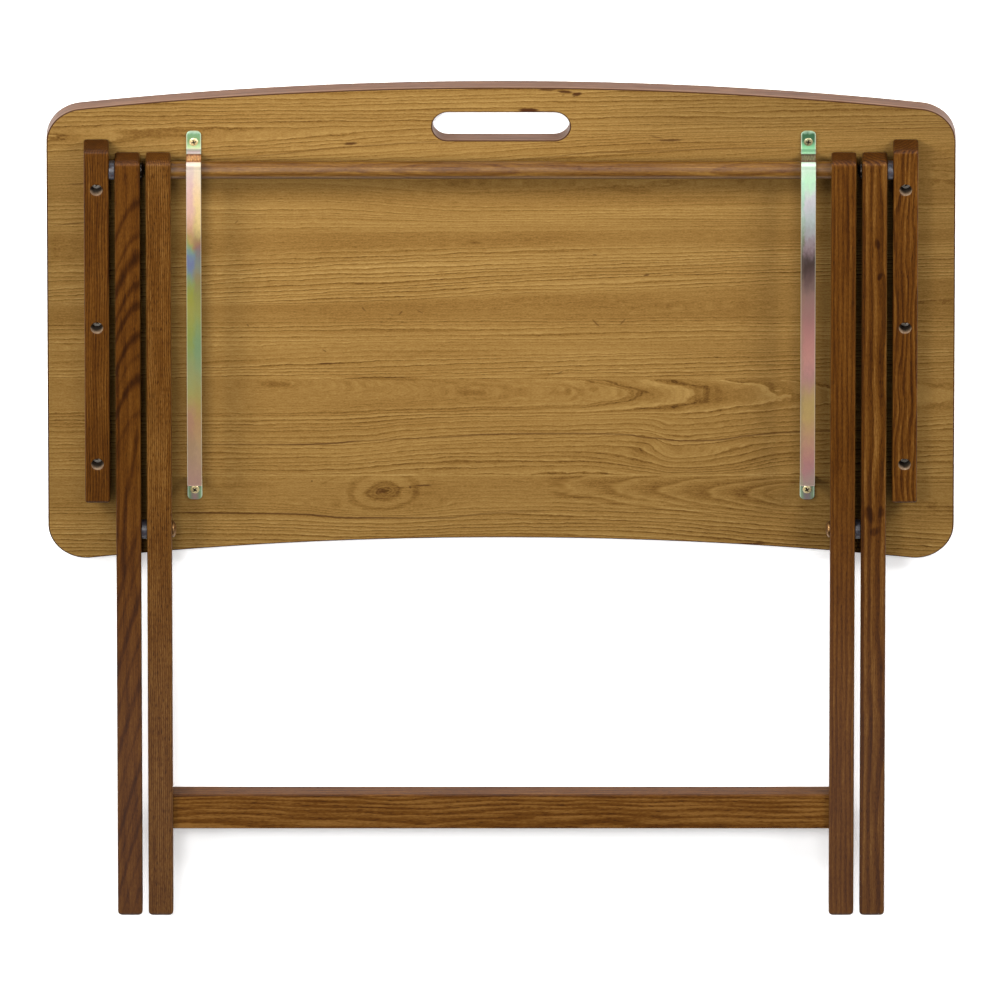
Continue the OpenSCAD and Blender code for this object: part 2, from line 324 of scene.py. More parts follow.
def rod(r, x0, x1, y, z, chamfer=0.0, n=48):
    """A turned rod along X, with chamfered ends."""
    lo, hi = min(x0, x1), max(x0, x1)
    if chamfer:
        p = [(0, lo), (r - chamfer, lo), (r, lo + chamfer), (r, hi - chamfer), (r - chamfer, hi), (0, hi)]
    else:
        p = [(0, lo), (r, lo), (r, hi), (0, hi)]
    return lathe(p, (0, y, z), "x", n)


def ring_rect(hu, hw, r, n=5):
    """Points of a rectangle with round corners, half sizes hu and hw."""
    r = min(r, hu * 0.98, hw * 0.98)
    pts = []
    for cu, cw, a0 in ((1, 1, 0), (-1, 1, 90), (-1, -1, 180), (1, -1, 270)):
        for k in range(n):
            a = math.radians(a0 + 90 * k / (n - 1))
            pts.append((cu * (hu - r) + r * math.cos(a), cw * (hw - r) + r * math.sin(a)))
    return pts


def arc_in(d, r):
    """How far a surface lies inside its full size at a distance d from a rounded end."""
    return 0.0 if d >= r or r <= 0 else r - math.sqrt(max(0.0, r * r - (r - d) ** 2))


def timber(lo, hi, along, edge=1.3 * MM, end_thick=4 * MM, end_side=2.2 * MM, foot_side=None):
    """Squared timber in the box lo to hi, its long edges eased and its ends rounded."""
    ia = "xyz".index(along)
    iu = 0 if along == "y" else 1
    size = [hi[i] - lo[i] for i in range(3)]
    mid = [(hi[i] + lo[i]) / 2 for i in range(3)]
    length = size[ia]
    reach = max(end_thick, end_side, edge, foot_side or 0.0)
    near = [0.0, 0.03, 0.1, 0.2, 0.33, 0.48, 0.65, 0.82, 1.0] if reach > 0.1 * MM else [0.0]
    ds = [reach * (1 - math.cos(math.radians(90 * t))) for t in near]
    steps = 10
    stations = ds + [reach + (length - 2 * reach) * k / steps for k in range(1, steps)] + [length - d for d in reversed(ds)]
    bm = bmesh.new()
    rings = []
    for v in stations:
        d = min(v, length - v)
        hu = size[iu] / 2 - arc_in(d, foot_side if foot_side and v < length / 2 else end_side)
        hw = size[2] / 2 - arc_in(d, end_thick)
        ring = []
        for u, w in ring_rect(hu, hw, edge):
            p = [0.0, 0.0, 0.0]
            p[ia] = lo[ia] + v
            p[iu] = mid[iu] + u
            p[2] = mid[2] + w
            ring.append(bm.verts.new(p))
        rings.append(ring)
    n = len(rings[0])
    for a, b in zip(rings, rings[1:]):
        for k in range(n):
            j = (k + 1) % n
            bm.faces.new((a[k], a[j], b[j], b[k]))
    bm.faces.new(list(reversed(rings[0])))
    bm.faces.new(rings[-1])
    return bm


def sweep_ring(loops, closed_profile=True):
    """Closed solid from loops of equal length, one after the other round a profile."""
    bm = bmesh.new()
    rows = [[bm.verts.new(p) for p in loop] for loop in loops]
    m = len(rows)
    n = len(rows[0])
    for i in range(m if closed_profile else m - 1):
        a, b = rows[i], rows[(i + 1) % m]
        for k in range(n):
            j = (k + 1) % n
            bm.faces.new((a[k], a[j], b[j], b[k]))
    return bm


def weighted(ob):
    m = ob.modifiers.new("normals", "WEIGHTED_NORMAL")
    m.keep_sharp = True
    m.weight = 50
    return ob


def stand_for(ob, body, slot, *nodes):
    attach(ob, body)
    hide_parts(*nodes)
    return ob

# ---------------------------------------------------------------- the frame's own places

FEET_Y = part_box("inner_leg_left")[0].y
UNDER_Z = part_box("tray_board")[1].z
AXIS_Z = (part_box("crossbar_dowel")[0].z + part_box("crossbar_dowel")[1].z) / 2
PIVOT_Y = (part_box("crossbar_dowel")[0].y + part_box("crossbar_dowel")[1].y) / 2
CROSS_Y = (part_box("cross_pivot_washer_left")[0].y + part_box("cross_pivot_washer_left")[1].y) / 2


def at_s(s):
    """Y of a distance from the feet in mm."""
    return FEET_Y + s * MM


def at_t(t):
    """Z of a depth above the tray's underside in mm."""
    return UNDER_Z + t * MM


def side_of(name):
    return -1 if name.endswith("left") else 1


# ---------------------------------------------------------------- tray edge and slot

def arc(c, r, a0, a1, n, ends=True):
    ks = range(n + 1) if ends else range(1, n)
    return [(c[0] + r * math.cos(math.radians(a0 + (a1 - a0) * k / n)),
             c[1] + r * math.sin(math.radians(a0 + (a1 - a0) * k / n))) for k in ks]


def tray_loop(g):
    """The tray's outline moved inwards by g, in metres."""
    lo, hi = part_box("tray_edge_band")
    rr, er = 30 * MM, 2868 * MM
    hw, r, rt, rb = hi.x - g, rr - g, er - g, er + g
    cx = hw - r
    top_c = hi.y - er
    low_c = at_s(326) - er
    cy_top = top_c + math.sqrt((rt - r) ** 2 - cx * cx)
    cy_low = low_c + math.sqrt((rb + r) ** 2 - cx * cx)
    a_top = math.degrees(math.asin(cx / (rt - r)))
    a_low = math.degrees(math.asin(cx / (rb + r)))
    cn, en = 28, 112
    return (arc((cx, cy_low), r, -90 - a_low, 0, cn) + arc((cx, cy_top), r, 0, 90 - a_top, cn)
            + arc((0, top_c), rt, 90 - a_top, 90 + a_top, en, False)
            + arc((-cx, cy_top), r, 90 + a_top, 180, cn) + arc((-cx, cy_low), r, 180, 270 + a_low, cn)
            + arc((0, low_c), rb, 90 + a_low, 90 - a_low, en, False))


def slot_loop(g):
    """The hand slot's outline moved outwards by g, in metres."""
    lo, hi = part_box("handle_slot_band")
    cy = (lo.y + hi.y) / 2
    band = 1 * MM
    h = (hi.y - lo.y) / 2 - band + g
    cx = (hi.x - lo.x) / 2 - band - ((hi.y - lo.y) / 2 - band)
    n = 28
    return arc((cx, cy), h, -90, 90, n) + arc((-cx, cy), h, 90, 270, n)


def band(name, loop, body, slot, node, material):
    """Banding glued round an edge: 1 mm thick, with its two outer corners scraped round."""
    th = UNDER_Z
    prof = [(1.0, 0.0), (0.62, 0.0), (0.36, 0.06), (0.15, 0.2), (0.04, 0.42), (0.0, 0.75)]
    prof = [(g * MM, z * MM) for g, z in prof]
    prof = prof + [(g, th - z) for g, z in reversed(prof)]
    loops = [[(x, y, z) for x, y in loop(g)] for g, z in prof]
    ob = finish_mesh(name, sweep_ring(loops), [material], 50)
    return stand_for(weighted(ob), body, slot, node)


# ---------------------------------------------------------------- timber pieces

def frame_timber(name, body, slot, node, along, materials, **kw):
    cuts = kw.pop("cuts", [])
    inside = kw.pop("inside", None)
    lo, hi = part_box(node)
    bm = timber(lo, hi, along, **kw)
    if cuts:
        bm = carve(bm, cuts)
    ob = finish_mesh(name, bm, materials)
    if inside:
        for p in ob.data.polygons:
            if inside(ob.data, p):
                p.material_index = 1
    return stand_for(weighted(ob), body, slot, node)


RAIL_SCREWS = [35 * MM, 156 * MM, 278 * MM]


def make_rail(node, materials):
    lo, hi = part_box(node)
    x = (lo.x + hi.x) / 2
    top = hi.z
    m = side_of(node)
    holes = [(x, lo.y + d) for d in RAIL_SCREWS]
    cuts = [lathe([(0, -12 * MM), (4.9 * MM, -12 * MM), (4.9 * MM, -0.35 * MM), (5.3 * MM, 0.02 * MM),
                   (5.3 * MM, 1 * MM), (0, 1 * MM)], (hx, hy, top), "z", 40) for hx, hy in holes]
    cuts.append(rod(4.5 * MM, m * (abs(x) - 11 * MM), m * (abs(x) + 2.25 * MM), PIVOT_Y, AXIS_Z, n=32))

    # the counterbore walls get the bare wood, with its painted shade deep down
    def inside(me, p):
        c = p.center
        if top - 12.1 * MM < c.z < top - 0.2 * MM:
            return any(math.hypot(c.x - hx, c.y - hy) < 5.0 * MM for hx, hy in holes)
        return False
    return frame_timber(node + "_wood", "tray", "stained_timber", node, "y", materials,
                        edge=1.5 * MM, end_thick=3 * MM, end_side=2.2 * MM, cuts=cuts, inside=inside)


def make_leg(node, body, materials):
    lo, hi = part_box(node)
    x = (lo.x + hi.x) / 2
    m = side_of(node)
    w = (hi.x - lo.x) / 2
    if body == "outer_legs":
        cuts = [rod(3.05 * MM, x - 2 * w, x + 2 * w, PIVOT_Y, AXIS_Z, n=32),
                rod(4.5 * MM, m * (abs(x) - w - 1 * MM), m * (abs(x) - w + 12 * MM), CROSS_Y, AXIS_Z, n=32)]
    else:
        cuts = [rod(7.05 * MM, m * (abs(x) - w - 1 * MM), m * (abs(x) - w + 13.5 * MM), PIVOT_Y, AXIS_Z, n=48),
                rod(3.05 * MM, x - 2 * w, x + 2 * w, CROSS_Y, AXIS_Z, n=32)]
    return frame_timber(node + "_wood", body, "stained_timber", node, "y", materials,
                        edge=1.5 * MM, end_thick=4 * MM, end_side=2.6 * MM, foot_side=4.6 * MM, cuts=cuts)


# ---------------------------------------------------------------- metal strips

def unit2(a):
    l = math.hypot(*a)
    return (a[0] / l, a[1] / l)


def filleted(points, r, n=7):
    """A path with its corners rounded to radius r."""
    out = [points[0]]
    for p, q, s in zip(points, points[1:], points[2:]):
        a, b = unit2((p[0] - q[0], p[1] - q[1])), unit2((s[0] - q[0], s[1] - q[1]))
        half = math.acos(max(-1, min(1, a[0] * b[0] + a[1] * b[1]))) / 2
        tan = r / math.tan(half)
        mid = unit2((a[0] + b[0], a[1] + b[1]))
        c = (q[0] + mid[0] * r / math.sin(half), q[1] + mid[1] * r / math.sin(half))
        s0 = (q[0] + a[0] * tan, q[1] + a[1] * tan)
        s1 = (q[0] + b[0] * tan, q[1] + b[1] * tan)
        a0 = math.atan2(s0[1] - c[1], s0[0] - c[0])
        a1 = math.atan2(s1[1] - c[1], s1[0] - c[0])
        while a1 - a0 > math.pi: a1 -= 2 * math.pi
        while a1 - a0 < -math.pi: a1 += 2 * math.pi
        out += [(c[0] + r * math.cos(a0 + (a1 - a0) * k / n), c[1] + r * math.sin(a0 + (a1 - a0) * k / n)) for k in range(n + 1)]
    return out + [points[-1]]


def make_strap(node, materials):
    lo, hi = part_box(node)
    x = (lo.x + hi.x) / 2
    hw, th = (hi.x - lo.x) / 2, 1.5 * MM
    top, low = hi.y, lo.y
    t_in, t_out = UNDER_Z + th / 2, hi.z - th / 2
    pts = [(t_in, top), (t_in, at_s(666.8)), (t_out, at_s(671.5)), (t_out, at_s(386.5)), (t_in, at_s(381)), (t_in, low)]
    path = filleted(pts, 2.1 * MM)
    # more stations at the two rounded ends and along the run
    def between(p, q, ds):
        l = math.hypot(q[0] - p[0], q[1] - p[1])
        return [(p[0] + (q[0] - p[0]) * d / l, p[1] + (q[1] - p[1]) * d / l) for d in ds]
    end = 3.6 * MM
    ds = [end * (1 - math.cos(math.radians(90 * k / 7))) for k in range(1, 8)]
    full = [path[0]] + between(path[0], path[1], ds) + path[1:-1] + list(reversed(between(path[-1], path[-2], ds))) + [path[-1]]
    dense = [full[0]]
    for p, q in zip(full, full[1:]):
        l = math.hypot(q[0] - p[0], q[1] - p[1])
        k = max(1, int(l / (12 * MM)))
        dense += [(p[0] + (q[0] - p[0]) * i / k, p[1] + (q[1] - p[1]) * i / k) for i in range(1, k + 1)]
    bm = bmesh.new()
    rings = []
    total = len(dense)
    run = [0.0]
    for p, q in zip(dense, dense[1:]):
        run.append(run[-1] + math.hypot(q[0] - p[0], q[1] - p[1]))
    for i, p in enumerate(dense):
        a = dense[max(0, i - 1)]
        b = dense[min(total - 1, i + 1)]
        tz, ty = unit2((b[0] - a[0], b[1] - a[1]))
        d = min(run[i], run[-1] - run[i])
        h = hw
        if d < end:
            h = hw - 3.5 * MM * (1 - math.sqrt(max(0.0, 1 - ((end - d) / end) ** 2)))
        ring = [bm.verts.new((x + u, p[1] - tz * w, p[0] + ty * w)) for u, w in ring_rect(h, th / 2, 0.4 * MM, 4)]
        rings.append(ring)
    n = len(rings[0])
    for a, b in zip(rings, rings[1:]):
        for k in range(n):
            j = (k + 1) % n
            bm.faces.new((a[k], a[j], b[j], b[k]))
    bm.faces.new(rings[0])
    bm.faces.new(list(reversed(rings[-1])))
    cuts = [lathe([(0, -3 * MM), (1.81 * MM, -3 * MM), (1.81 * MM, -1.3 * MM), (3.6 * MM, -0.1 * MM), (3.6 * MM, 2 * MM), (0, 2 * MM)],
                  (x, at_s(s), at_t(1.5)), "z", 40) for s in (677.8, 369.7)]
    bm = carve(bm, cuts)
    ob = finish_mesh(node + "_strip", bm, materials, 50)
    return stand_for(weighted(ob), "tray", "zinc_strap", node)


# ---------------------------------------------------------------- screws and bolts

def cross_cut(centre, size, depth, turn):
    """The two tapered wings of a cross recess, from above centre down by depth."""
    out = []
    for a in (0, 90):
        bm = bmesh.new()
        top, bot = [], []
        up = 1.2 * MM
        for sx, sy in ((1, 1), (-1, 1), (-1, -1), (1, -1)):
            top.append(bm.verts.new((sx * size * 0.56, sy * size * 0.13, up)))
            bot.append(bm.verts.new((sx * size * 0.2, sy * size * 0.07, -depth)))
        bm.faces.new(top)
        bm.faces.new(list(reversed(bot)))
        for k in range(4):
            j = (k + 1) % 4
            bm.faces.new((top[j], top[k], bot[k], bot[j]))
        rot = Matrix.Rotation(math.radians(a + turn), 3, "Z")
        for v in bm.verts:
            v.co = rot @ v.co + Vector(centre)
        out.append(bm)
    return out


def dome(profile, r):
    """The height of a turned head's top at the radius r, all in mm."""
    wide = max(range(len(profile)), key=lambda i: profile[i][0])
    for (ra, ha), (rb, hb) in zip(profile[wide:], profile[wide + 1:]):
        if rb <= r <= ra:
            return ha + (hb - ha) * (ra - r) / max(1e-6, ra - rb)
    return profile[-1][1]


def screws(name, node, body, slot, profile, places, size, depth, face, material):
    whole = bmesh.new()
    for i, (x, y, z) in enumerate(places):
        turn = (17, 52, 78, 33, 5, 61)[i % 6]
        bm = lathe([(r * MM, h * MM) for r, h in profile], (x, y, z), "z", 40)
        bm = carve(bm, cross_cut((x, y, z + face * MM), size * MM, depth * MM, turn))
        # the faces of the cross recess get a dark material as painted shade
        for f in bm.faces:
            c = f.calc_center_median() - Vector((x, y, z))
            r = math.hypot(c.x, c.y) / MM
            if r < size * 0.56 and c.z / MM > face - depth - 0.1 and c.z / MM < dome(profile, r) - 0.07:
                f.material_index = 1
        add_to(whole, bm)
    ob = finish_mesh(name, whole, [material, RECESS_PAINTED_SHADE], 40)
    return stand_for(weighted(ob), body, slot, node)


def bolt(name, node, body, slot, head, shank_r, seat_x, tip_x, y, z, material, recess):
    """A bolt along X with a domed head at seat_x, facing the table's middle."""
    m = -1 if seat_x < 0 else 1
    # distances measured from the seat towards the table's middle
    prof = [(0, -abs(tip_x - seat_x)), (shank_r - 0.5 * MM, -abs(tip_x - seat_x)),
            (shank_r, -abs(tip_x - seat_x) + 0.5 * MM), (shank_r, 0)]
    prof += [(r * MM, h * MM) for r, h in head]
    bm = lathe(prof, (seat_x, y, z), "-x" if m > 0 else "x", 48)
    tip = head[-1][1] * MM
    hexa = bmesh.new()
    rad = recess * MM
    a, b = [], []
    for k in range(6):
        t = math.radians(60 * k + 12)
        a.append(hexa.verts.new((seat_x - m * (tip + 1 * MM), y + rad * math.cos(t), z + rad * math.sin(t))))
        b.append(hexa.verts.new((seat_x - m * (tip - 1.8 * MM), y + rad * math.cos(t), z + rad * math.sin(t))))
    hexa.faces.new(a)
    hexa.faces.new(list(reversed(b)))
    for k in range(6):
        j = (k + 1) % 6
        hexa.faces.new((a[j], a[k], b[k], b[j]))
    bm = carve(bm, [hexa])
    ob = finish_mesh(name, bm, [material], 40)
    return stand_for(weighted(ob), body, slot, node)


def washer(name, node, body, slot, hole, material):
    lo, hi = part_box(node)
    x0, x1 = lo.x, hi.x
    r = (hi.y - lo.y) / 2
    c = 0.5 * MM
    y, z = (lo.y + hi.y) / 2, (lo.z + hi.z) / 2
    prof = [(hole, x0 + 0.2 * MM), (hole + 0.2 * MM, x0), (r - c, x0), (r - c * 0.3, x0 + c * 0.3), (r, x0 + c),
            (r, x1 - c), (r - c * 0.3, x1 - c * 0.3), (r - c, x1), (hole + 0.2 * MM, x1), (hole, x1 - 0.2 * MM)]
    ob = finish_mesh(name, lathe(prof, (0, y, z), "x", 48), [material], 50)
    return stand_for(weighted(ob), body, slot, node)

# ---------------------------------------------------------------- laminate of the board

def tone(r, g, b, k=1.0):
    c = srgb(r, g, b)
    return (c[0] * k, c[1] * k, c[2] * k, 1.0)


def make_laminate():
    """Printed wood grain. Places are in mm: X across the board, S from the feet."""
    g = Graph("board_laminate_look")
    k = 0.505
    x0, y0, z0 = g.split(g.vmath("SCALE", g.co, scale=1000.0))
    under = g.step(z0, 5.0, 7.0)
    sign = under * 2.0 - 1.0
    X = x0 * sign + (1.0 - under) * 37.0
    S = y0 * sign + 362.5 + (1.0 - under) * 322.0

    rough_at = g.join(X * 0.035, S * 0.12, z0 * 0.0)
    wob = g.noise(rough_at, 1.0, 2.0, 0.5) - 0.5
    fine_wob = g.noise(g.join(X * 0.22, S * 0.35, 0.0), 1.0, 1.0, 0.5) - 0.5

    # upper plank: lines that climb gently to the right
    lean = g.trace(S, [(460, 0.03), (478, 0.03), (492, 0.024), (505, 0.008), (522, 0.008), (534, 0.04), (545, 0.052),
                       (558, 0.046), (574, 0.034), (588, 0.018), (600, 0.01), (640, 0.01), (652, 0.03), (668, 0.06),
                       (682, 0.045), (700, 0.015), (730, 0.02)])
    dip = g.step(X, -150.0, -20.0) * g.trace(S, [(598, 0), (606, 0.3), (616, 1.0), (632, 1.0), (645, 0.2), (655, 0)])
    rise = g.step(X, 130.0, 10.0) * g.step(X, -70.0, 10.0) * g.trace(S, [(530, 0), (538, 0.5), (545, 1.0), (552, 0.6), (566, 0.0)])
    qa = S - lean * X + dip * 8.0 - rise * 2.2 + wob * 3.0 + fine_wob * 0.9

    # middle plank: arcs that point right, over lines that sag
    axis = 455.5 - X * 0.012 + g.step(X, -20.0, -160.0) * 5.0
    away = S - axis
    reach = g.trace(X, [(-360, 0), (-200, 0), (-185, 5), (-110, 68), (-20, 144), (50, 170), (80, 238), (110, 340), (165, 500),
                        (223, 620), (290, 800), (360, 960)], False)
    sag = g.trace(X, [(-360, 0), (-150, 0), (-70, -5.2), (0, -7.2), (90, -6.8), (124, -2.4), (147, 0.6), (175, -0.6), (233, -3.2), (360, -4)])
    sag_at = g.trace(S, [(380, 0.25), (392, 0.75), (408, 1.0), (424, 1.0), (440, 0.15), (448, 0)])
    hollow = g.step(X, 60.0, 138.0) * g.step(X, 235.0, 142.0) * g.trace(S, [(378, 0.1), (386, 0.7), (396, 1.0), (408, 0.35), (418, 0.0)])
    qb = axis - g.math("SQRT", away * away + reach) + sag * sag_at + hollow * 9.0 + wob * 3.2 + fine_wob * 1.0
    
    # lower plank: a knot, and chevrons that point left
    cx = g.math("MINIMUM", g.math("MAXIMUM", X, 30.0), 222.0)
    chev_d = (222.0 - cx) / 0.31
    below = S - 372.5 + g.step(X, 30.0, 240.0) * 8.0
    side = g.math("SQRT", below * below + chev_d)
    slope_right = g.step(X, 40.0, 230.0) * g.step(S, 372.0, 340.0)
    ku = X + 92.0 + wob * 9.0 + fine_wob * 3.0
    kw = (S - 367.5 - ku * 0.05 + fine_wob * 3.0) / 0.62
    kd = g.math("SQRT", ku * ku + kw * kw)
    knot_near = g.step(kd, 44.0, 22.0)
    bulge = g.math("EXPONENT", ((X + 94.0) * (X + 94.0)) * (-1.0 / 3000.0))
    qc = S + bulge * g.trace(S, [(300, 0), (330, 2.5), (346, 7.0), (352, 9), (356, 6), (362, 0.0), (374, 0), (380, -2), (385, -2)]) \
        + slope_right * (X - 40.0) * 0.06 + wob * 3.0 + fine_wob * 0.9

    upper = g.step(S + fine_wob * 0.6, 466.5, 467.3)
    lower = g.step(S + fine_wob * 0.3, 381.7, 381.2)

    # how strong the lines are along each plank
    ma = g.trace(qa, [(460, 0.5), (468, 0.9), (486, 0.9), (490, 0.35), (499, 0.3), (502, 0.7), (516, 0.75), (520, 0.5), (523, 0.12),
                      (538, 0.12), (541, 0.8), (546, 1.0), (562, 1.0), (578, 0.85), (583, 0.6), (586, 0.1), (596, 0.12), (600, 0.45),
                      (608, 0.6), (624, 0.75), (630, 0.25), (650, 0.3), (660, 0.6), (690, 0.8), (730, 0.85)], False)
    mb = g.trace(qb, [(375, 0.8), (388, 0.8), (400, 0.6), (410, 0.8), (418, 0.45), (428, 0.8), (434, 0.7), (438, 0.25), (444, 0.08), (470, 0.1)], False)
    mc = g.trace(qc, [(300, 0.8), (340, 0.95), (350, 0.8), (357, 0.35), (366, 0.15), (384, 0.2)], False)
    q = qb + lower * (qc - qb)
    q = q + upper * (qa - q)
    m = mb + lower * (mc - mb)
    m = m + upper * (ma - m)

    # the lines: a thin dark one, a thin light one above it, then an even ground
    drift = g.noise(g.join(X * 0.0035, q * 0.11, 3.0), 1.0, 1.0, 0.5)
    phase = q / 3.65 + drift * 2.4
    f = g.math("FRACT", phase)
    line = g.trace(f, [(0.0, 0.42), (0.1, 0.0), (0.2, 0.1), (0.34, 1.0), (0.48, 0.76), (0.75, 0.58), (1.0, 0.42)])
    strength = m * g.step(g.noise(g.join(X * 0.008, q * 0.24, 9.0), 1.0, 2.0, 0.6), 0.25, 0.6, 0.5, 1.0)
    broken = g.noise(g.join(X * 0.16, q * 0.9, 4.0), 1.0, 2.0, 0.6)
    lines = (line - 0.5) * strength * g.step(broken, 0.3, 0.6, 0.55, 1.15)

    fibre = g.noise(g.join(X * 0.12, q * 1.15, 6.0), 1.0, 2.5, 0.62) - 0.5
    crinkle = g.noise(g.join(X * 0.55 + fine_wob * 1.5, S * 1.5, 2.0), 1.0, 1.5, 0.6) - 0.5
    slow = g.noise(g.join(X * 0.006, q * 0.055, 5.0), 1.0, 2.0, 0.5) - 0.5
    t = 0.5 + lines * 0.62 + fibre * 0.55 + crinkle * 0.52 + slow * 0.34

    # broad shading between the groups of lines
    ground_a = g.trace(qa, [(460, 0.0), (475, 0.0), (500, 0.02), (515, 0.0), (523, -0.06), (537, -0.05), (543, 0.03), (560, 0.03),
                            (583, 0.02), (587, -0.06), (596, -0.05), (600, 0.02), (625, 0.05), (630, -0.04), (650, 0.0), (700, 0.02), (730, 0.0)])
    t = t + ground_a * upper

    # arcs and chevrons as soft darker bands
    arc_zone = (1.0 - upper) * (1.0 - lower)
    arcs = g.trace(qb + crinkle * 0.5, [(424.6, 0), (426.4, 0.3), (427.2, -0.2), (428.4, 0), (430.6, 0.55), (431.6, -0.5), (433, 0.0), (434.2, 0.0), (436.6, 0.9), (437.4, -0.45), (438.6, 0.0),
                                            (441.0, 0.0), (442.6, 0.25), (443.4, -0.15), (444.4, 0), (462, 0)], False)
    t = t - arcs * arc_zone * 0.24
    chev_zone = lower * g.step(X, 34.0, 46.0)
    chevs = g.trace(side + crinkle * 1.0 + wob * 3.0, [(0, 0), (5.4, 0.0), (6.2, -0.25), (6.8, 0.5), (8.6, 0.0), (9.4, -0.6), (10.2, 0.95), (12.0, 0.3), (12.9, 0.0), (13.7, -0.55), (14.4, 0.85),
                                  (16.0, 0.3), (16.8, -0.1), (17.5, -0.5), (18.1, 0.85), (19.4, 0.2), (20.1, 0.0), (20.7, -0.5), (21.3, 0.8), (22.4, 0.1), (23.2, -0.1), (23.7, -0.5), (24.4, 0.9), (26.4, 0.1), (27.2, -0.2), (27.9, 0.4), (29, 0.0), (30.4, 0.3), (32, 0)], False)
    t = t - chevs * chev_zone * g.step(S, 334.0, 350.0) * 0.24

    # the big knot: rings in a bay of calmer ground
    rings = g.trace(kd + crinkle * 1.6, [(0, 1.0), (3.0, 0.95), (4.2, 0.35), (5.4, 0.9), (6.4, 0.3), (8.6, 0.6), (9.8, 0.35), (11.4, 0.72), (13.2, 0.5), (15.6, 0.05),
                           (19, 0.0), (22.5, 0.05), (25.4, 0.5), (27.4, 0.42), (30.5, 0.0), (40, 0)], False)
    knot_zone = lower * knot_near * g.step(X, -140.0, -125.0)
    t = t + knot_zone * (0.06 - rings * 0.42)

    # single marks
    PX, PS = X + wob * 1.5, S + fine_wob * 1.4
    soft_marks = g.lens(PX, PS, -175.5, 462.3, 18, 3.4, -3, 0.7, 0.75)
    for a in ((-21, 454.8, 13, 3.6, -2, 0.7, 0.7), (-88, 467.6, 42, 2.4, -1.5, 0.8, 0.8), (-205, 372.5, 40, 3.2, 1, 0.8, 0.6),
              (113, 413.5, 12, 8, 15, 1.0, 0.45), (108.5, 398, 9, 17, -8, 1.0, 0.3), (47, 458, 9.5, 5.8, 0, 0.25, 0.35), (47, 458.2, 4.6, 3.2, 0, 0.5, -0.5),
              (69, 463, 4.5, 4.0, 0, 0.5, 0.6), (72.5, 458.4, 4.8, 3.6, 20, 0.4, 0.75), (60, 458, 8, 2.6, 0, 0.8, 0.3),
              (33, 470.5, 22, 1.6, 5, 0.7, 0.8), (69, 447.6, 7, 0.9, -2, 0.7, 0.9), (41, 449, 3, 0.8, -5, 0.6, 0.6),
              (63, 363.5, 12, 2.4, 3, 0.9, 0.6), (-120, 374, 14, 3.6, 30, 1.0, 0.3), (-134, 377, 12, 1.3, 25, 0.8, 0.5),
              (-63, 372, 22, 2.0, 6, 0.8, 0.55), (-64, 366, 16, 3.0, -8, 1.0, 0.35), (204, 466, 26, 1.5, 4, 0.7, 0.4),
              (150, 471, 44, 1.4, 3, 0.7, 0.55), (102, 634, 22, 2.6, -3, 0.9, 0.5), (180, 535.2, 3, 1.0, 20, 0.6, 0.8),
              (-20, 587.8, 9, 0.8, -2, 0.7, 0.9), (-300, 590, 24, 1.0, 2, 0.6, 0.5)):
        soft_marks = soft_marks + g.lens(PX, PS, *a)
    t = t - soft_marks * 0.2

    dark = g.lens(PX, PS, -135, 481.0, 9.5, 0.85, 2, 0.7, 0.8)
    for a in ((-107.3, 529.1, 3.2, 0.9, -48, 0.7, 0.5), (-78.1, 525.9, 3.0, 0.8, 50, 0.7, 0.6), (-63.3, 526.7, 3.4, 0.8, -35, 0.7, 0.45),
              (-86, 524.3, 3, 0.7, -12, 0.7, 0.4), (-197.8, 514.8, 2.0, 0.9, -50, 0.7, 0.5), (-138, 492.2, 2.4, 0.8, -35, 0.7, 0.55), (-206.5, 606.4, 2.6, 0.7, 48, 0.7, 0.45),
              (74.0, 516.8, 5.2, 1.0, -47, 0.7, 0.55), (95.2, 517.9, 4.4, 1.0, 55, 0.7, 0.5), (73.4, 577.2, 2.2, 0.9, -10, 0.7, 0.7),
              (113.6, 559.4, 3.2, 0.9, 3, 0.7, 0.75), (45.5, 472.7, 4.0, 0.9, 20, 0.7, 0.6), (21.5, 705.2, 9.5, 2.1, 0, 0.5, 1.0),
              (37, 723.6, 9, 2.0, 3, 0.5, 0.75), (50, 721.4, 7.2, 1.5, -4, 0.6, 0.95), (59.2, 719.2, 5.0, 2.1, 12, 0.6, 0.95), (70, 724, 9, 0.8, 2, 0.6, 0.6), (48.4, 718.4, 1.6, 1.0, 0, 0.6, 0.4), (57, 717.4, 1.0, 1.6, 0, 0.6, 0.5),
              (-16, 724.2, 22, 0.9, 0, 0.6, 0.6), (-117.2, 675.6, 6.5, 1.6, 3, 0.7, 0.9), (-52.5, 687, 2.2, 1.0, 10, 0.7, 0.5), (131.3, 678.5, 12.5, 1.5, 1, 0.8, 0.75), (121, 681.5, 7, 1.0, -15, 0.8, 0.4),
              (-227, 658, 7, 1.0, 8, 0.8, 0.6), (195, 320.5, 18, 1.1, 2, 0.5, 0.9), (-61, 372.6, 8.5, 1.0, 3, 0.7, 0.8), (-71, 371.0, 1.2, 1.3, 0, 0.5, 0.7), (-148, 376.5, 1.0, 1.0, 0, 0.5, 0.7),
              (-94.5, 367.4, 4.6, 3.2, 10, 0.8, 0.5), (-333, 605, 20, 0.8, 6, 0.5, 0.5), (-320, 640.5, 24, 0.8, 3, 0.5, 0.6)):
        dark = g.most(dark, g.lens(PX, PS, *a))

    def long_line(points, width, amount, fade=None):
        """A dark line that follows points (X, S)."""
        d = g.math("ABSOLUTE", S - g.trace(X, points) + fine_wob * 0.8)
        s = g.step(d, width, 0.15 * width, 0.0, amount)
        lo, hi = points[0][0], points[-1][0]
        return s * g.step(X, lo, lo + 12) * g.step(X, hi, hi - 12)

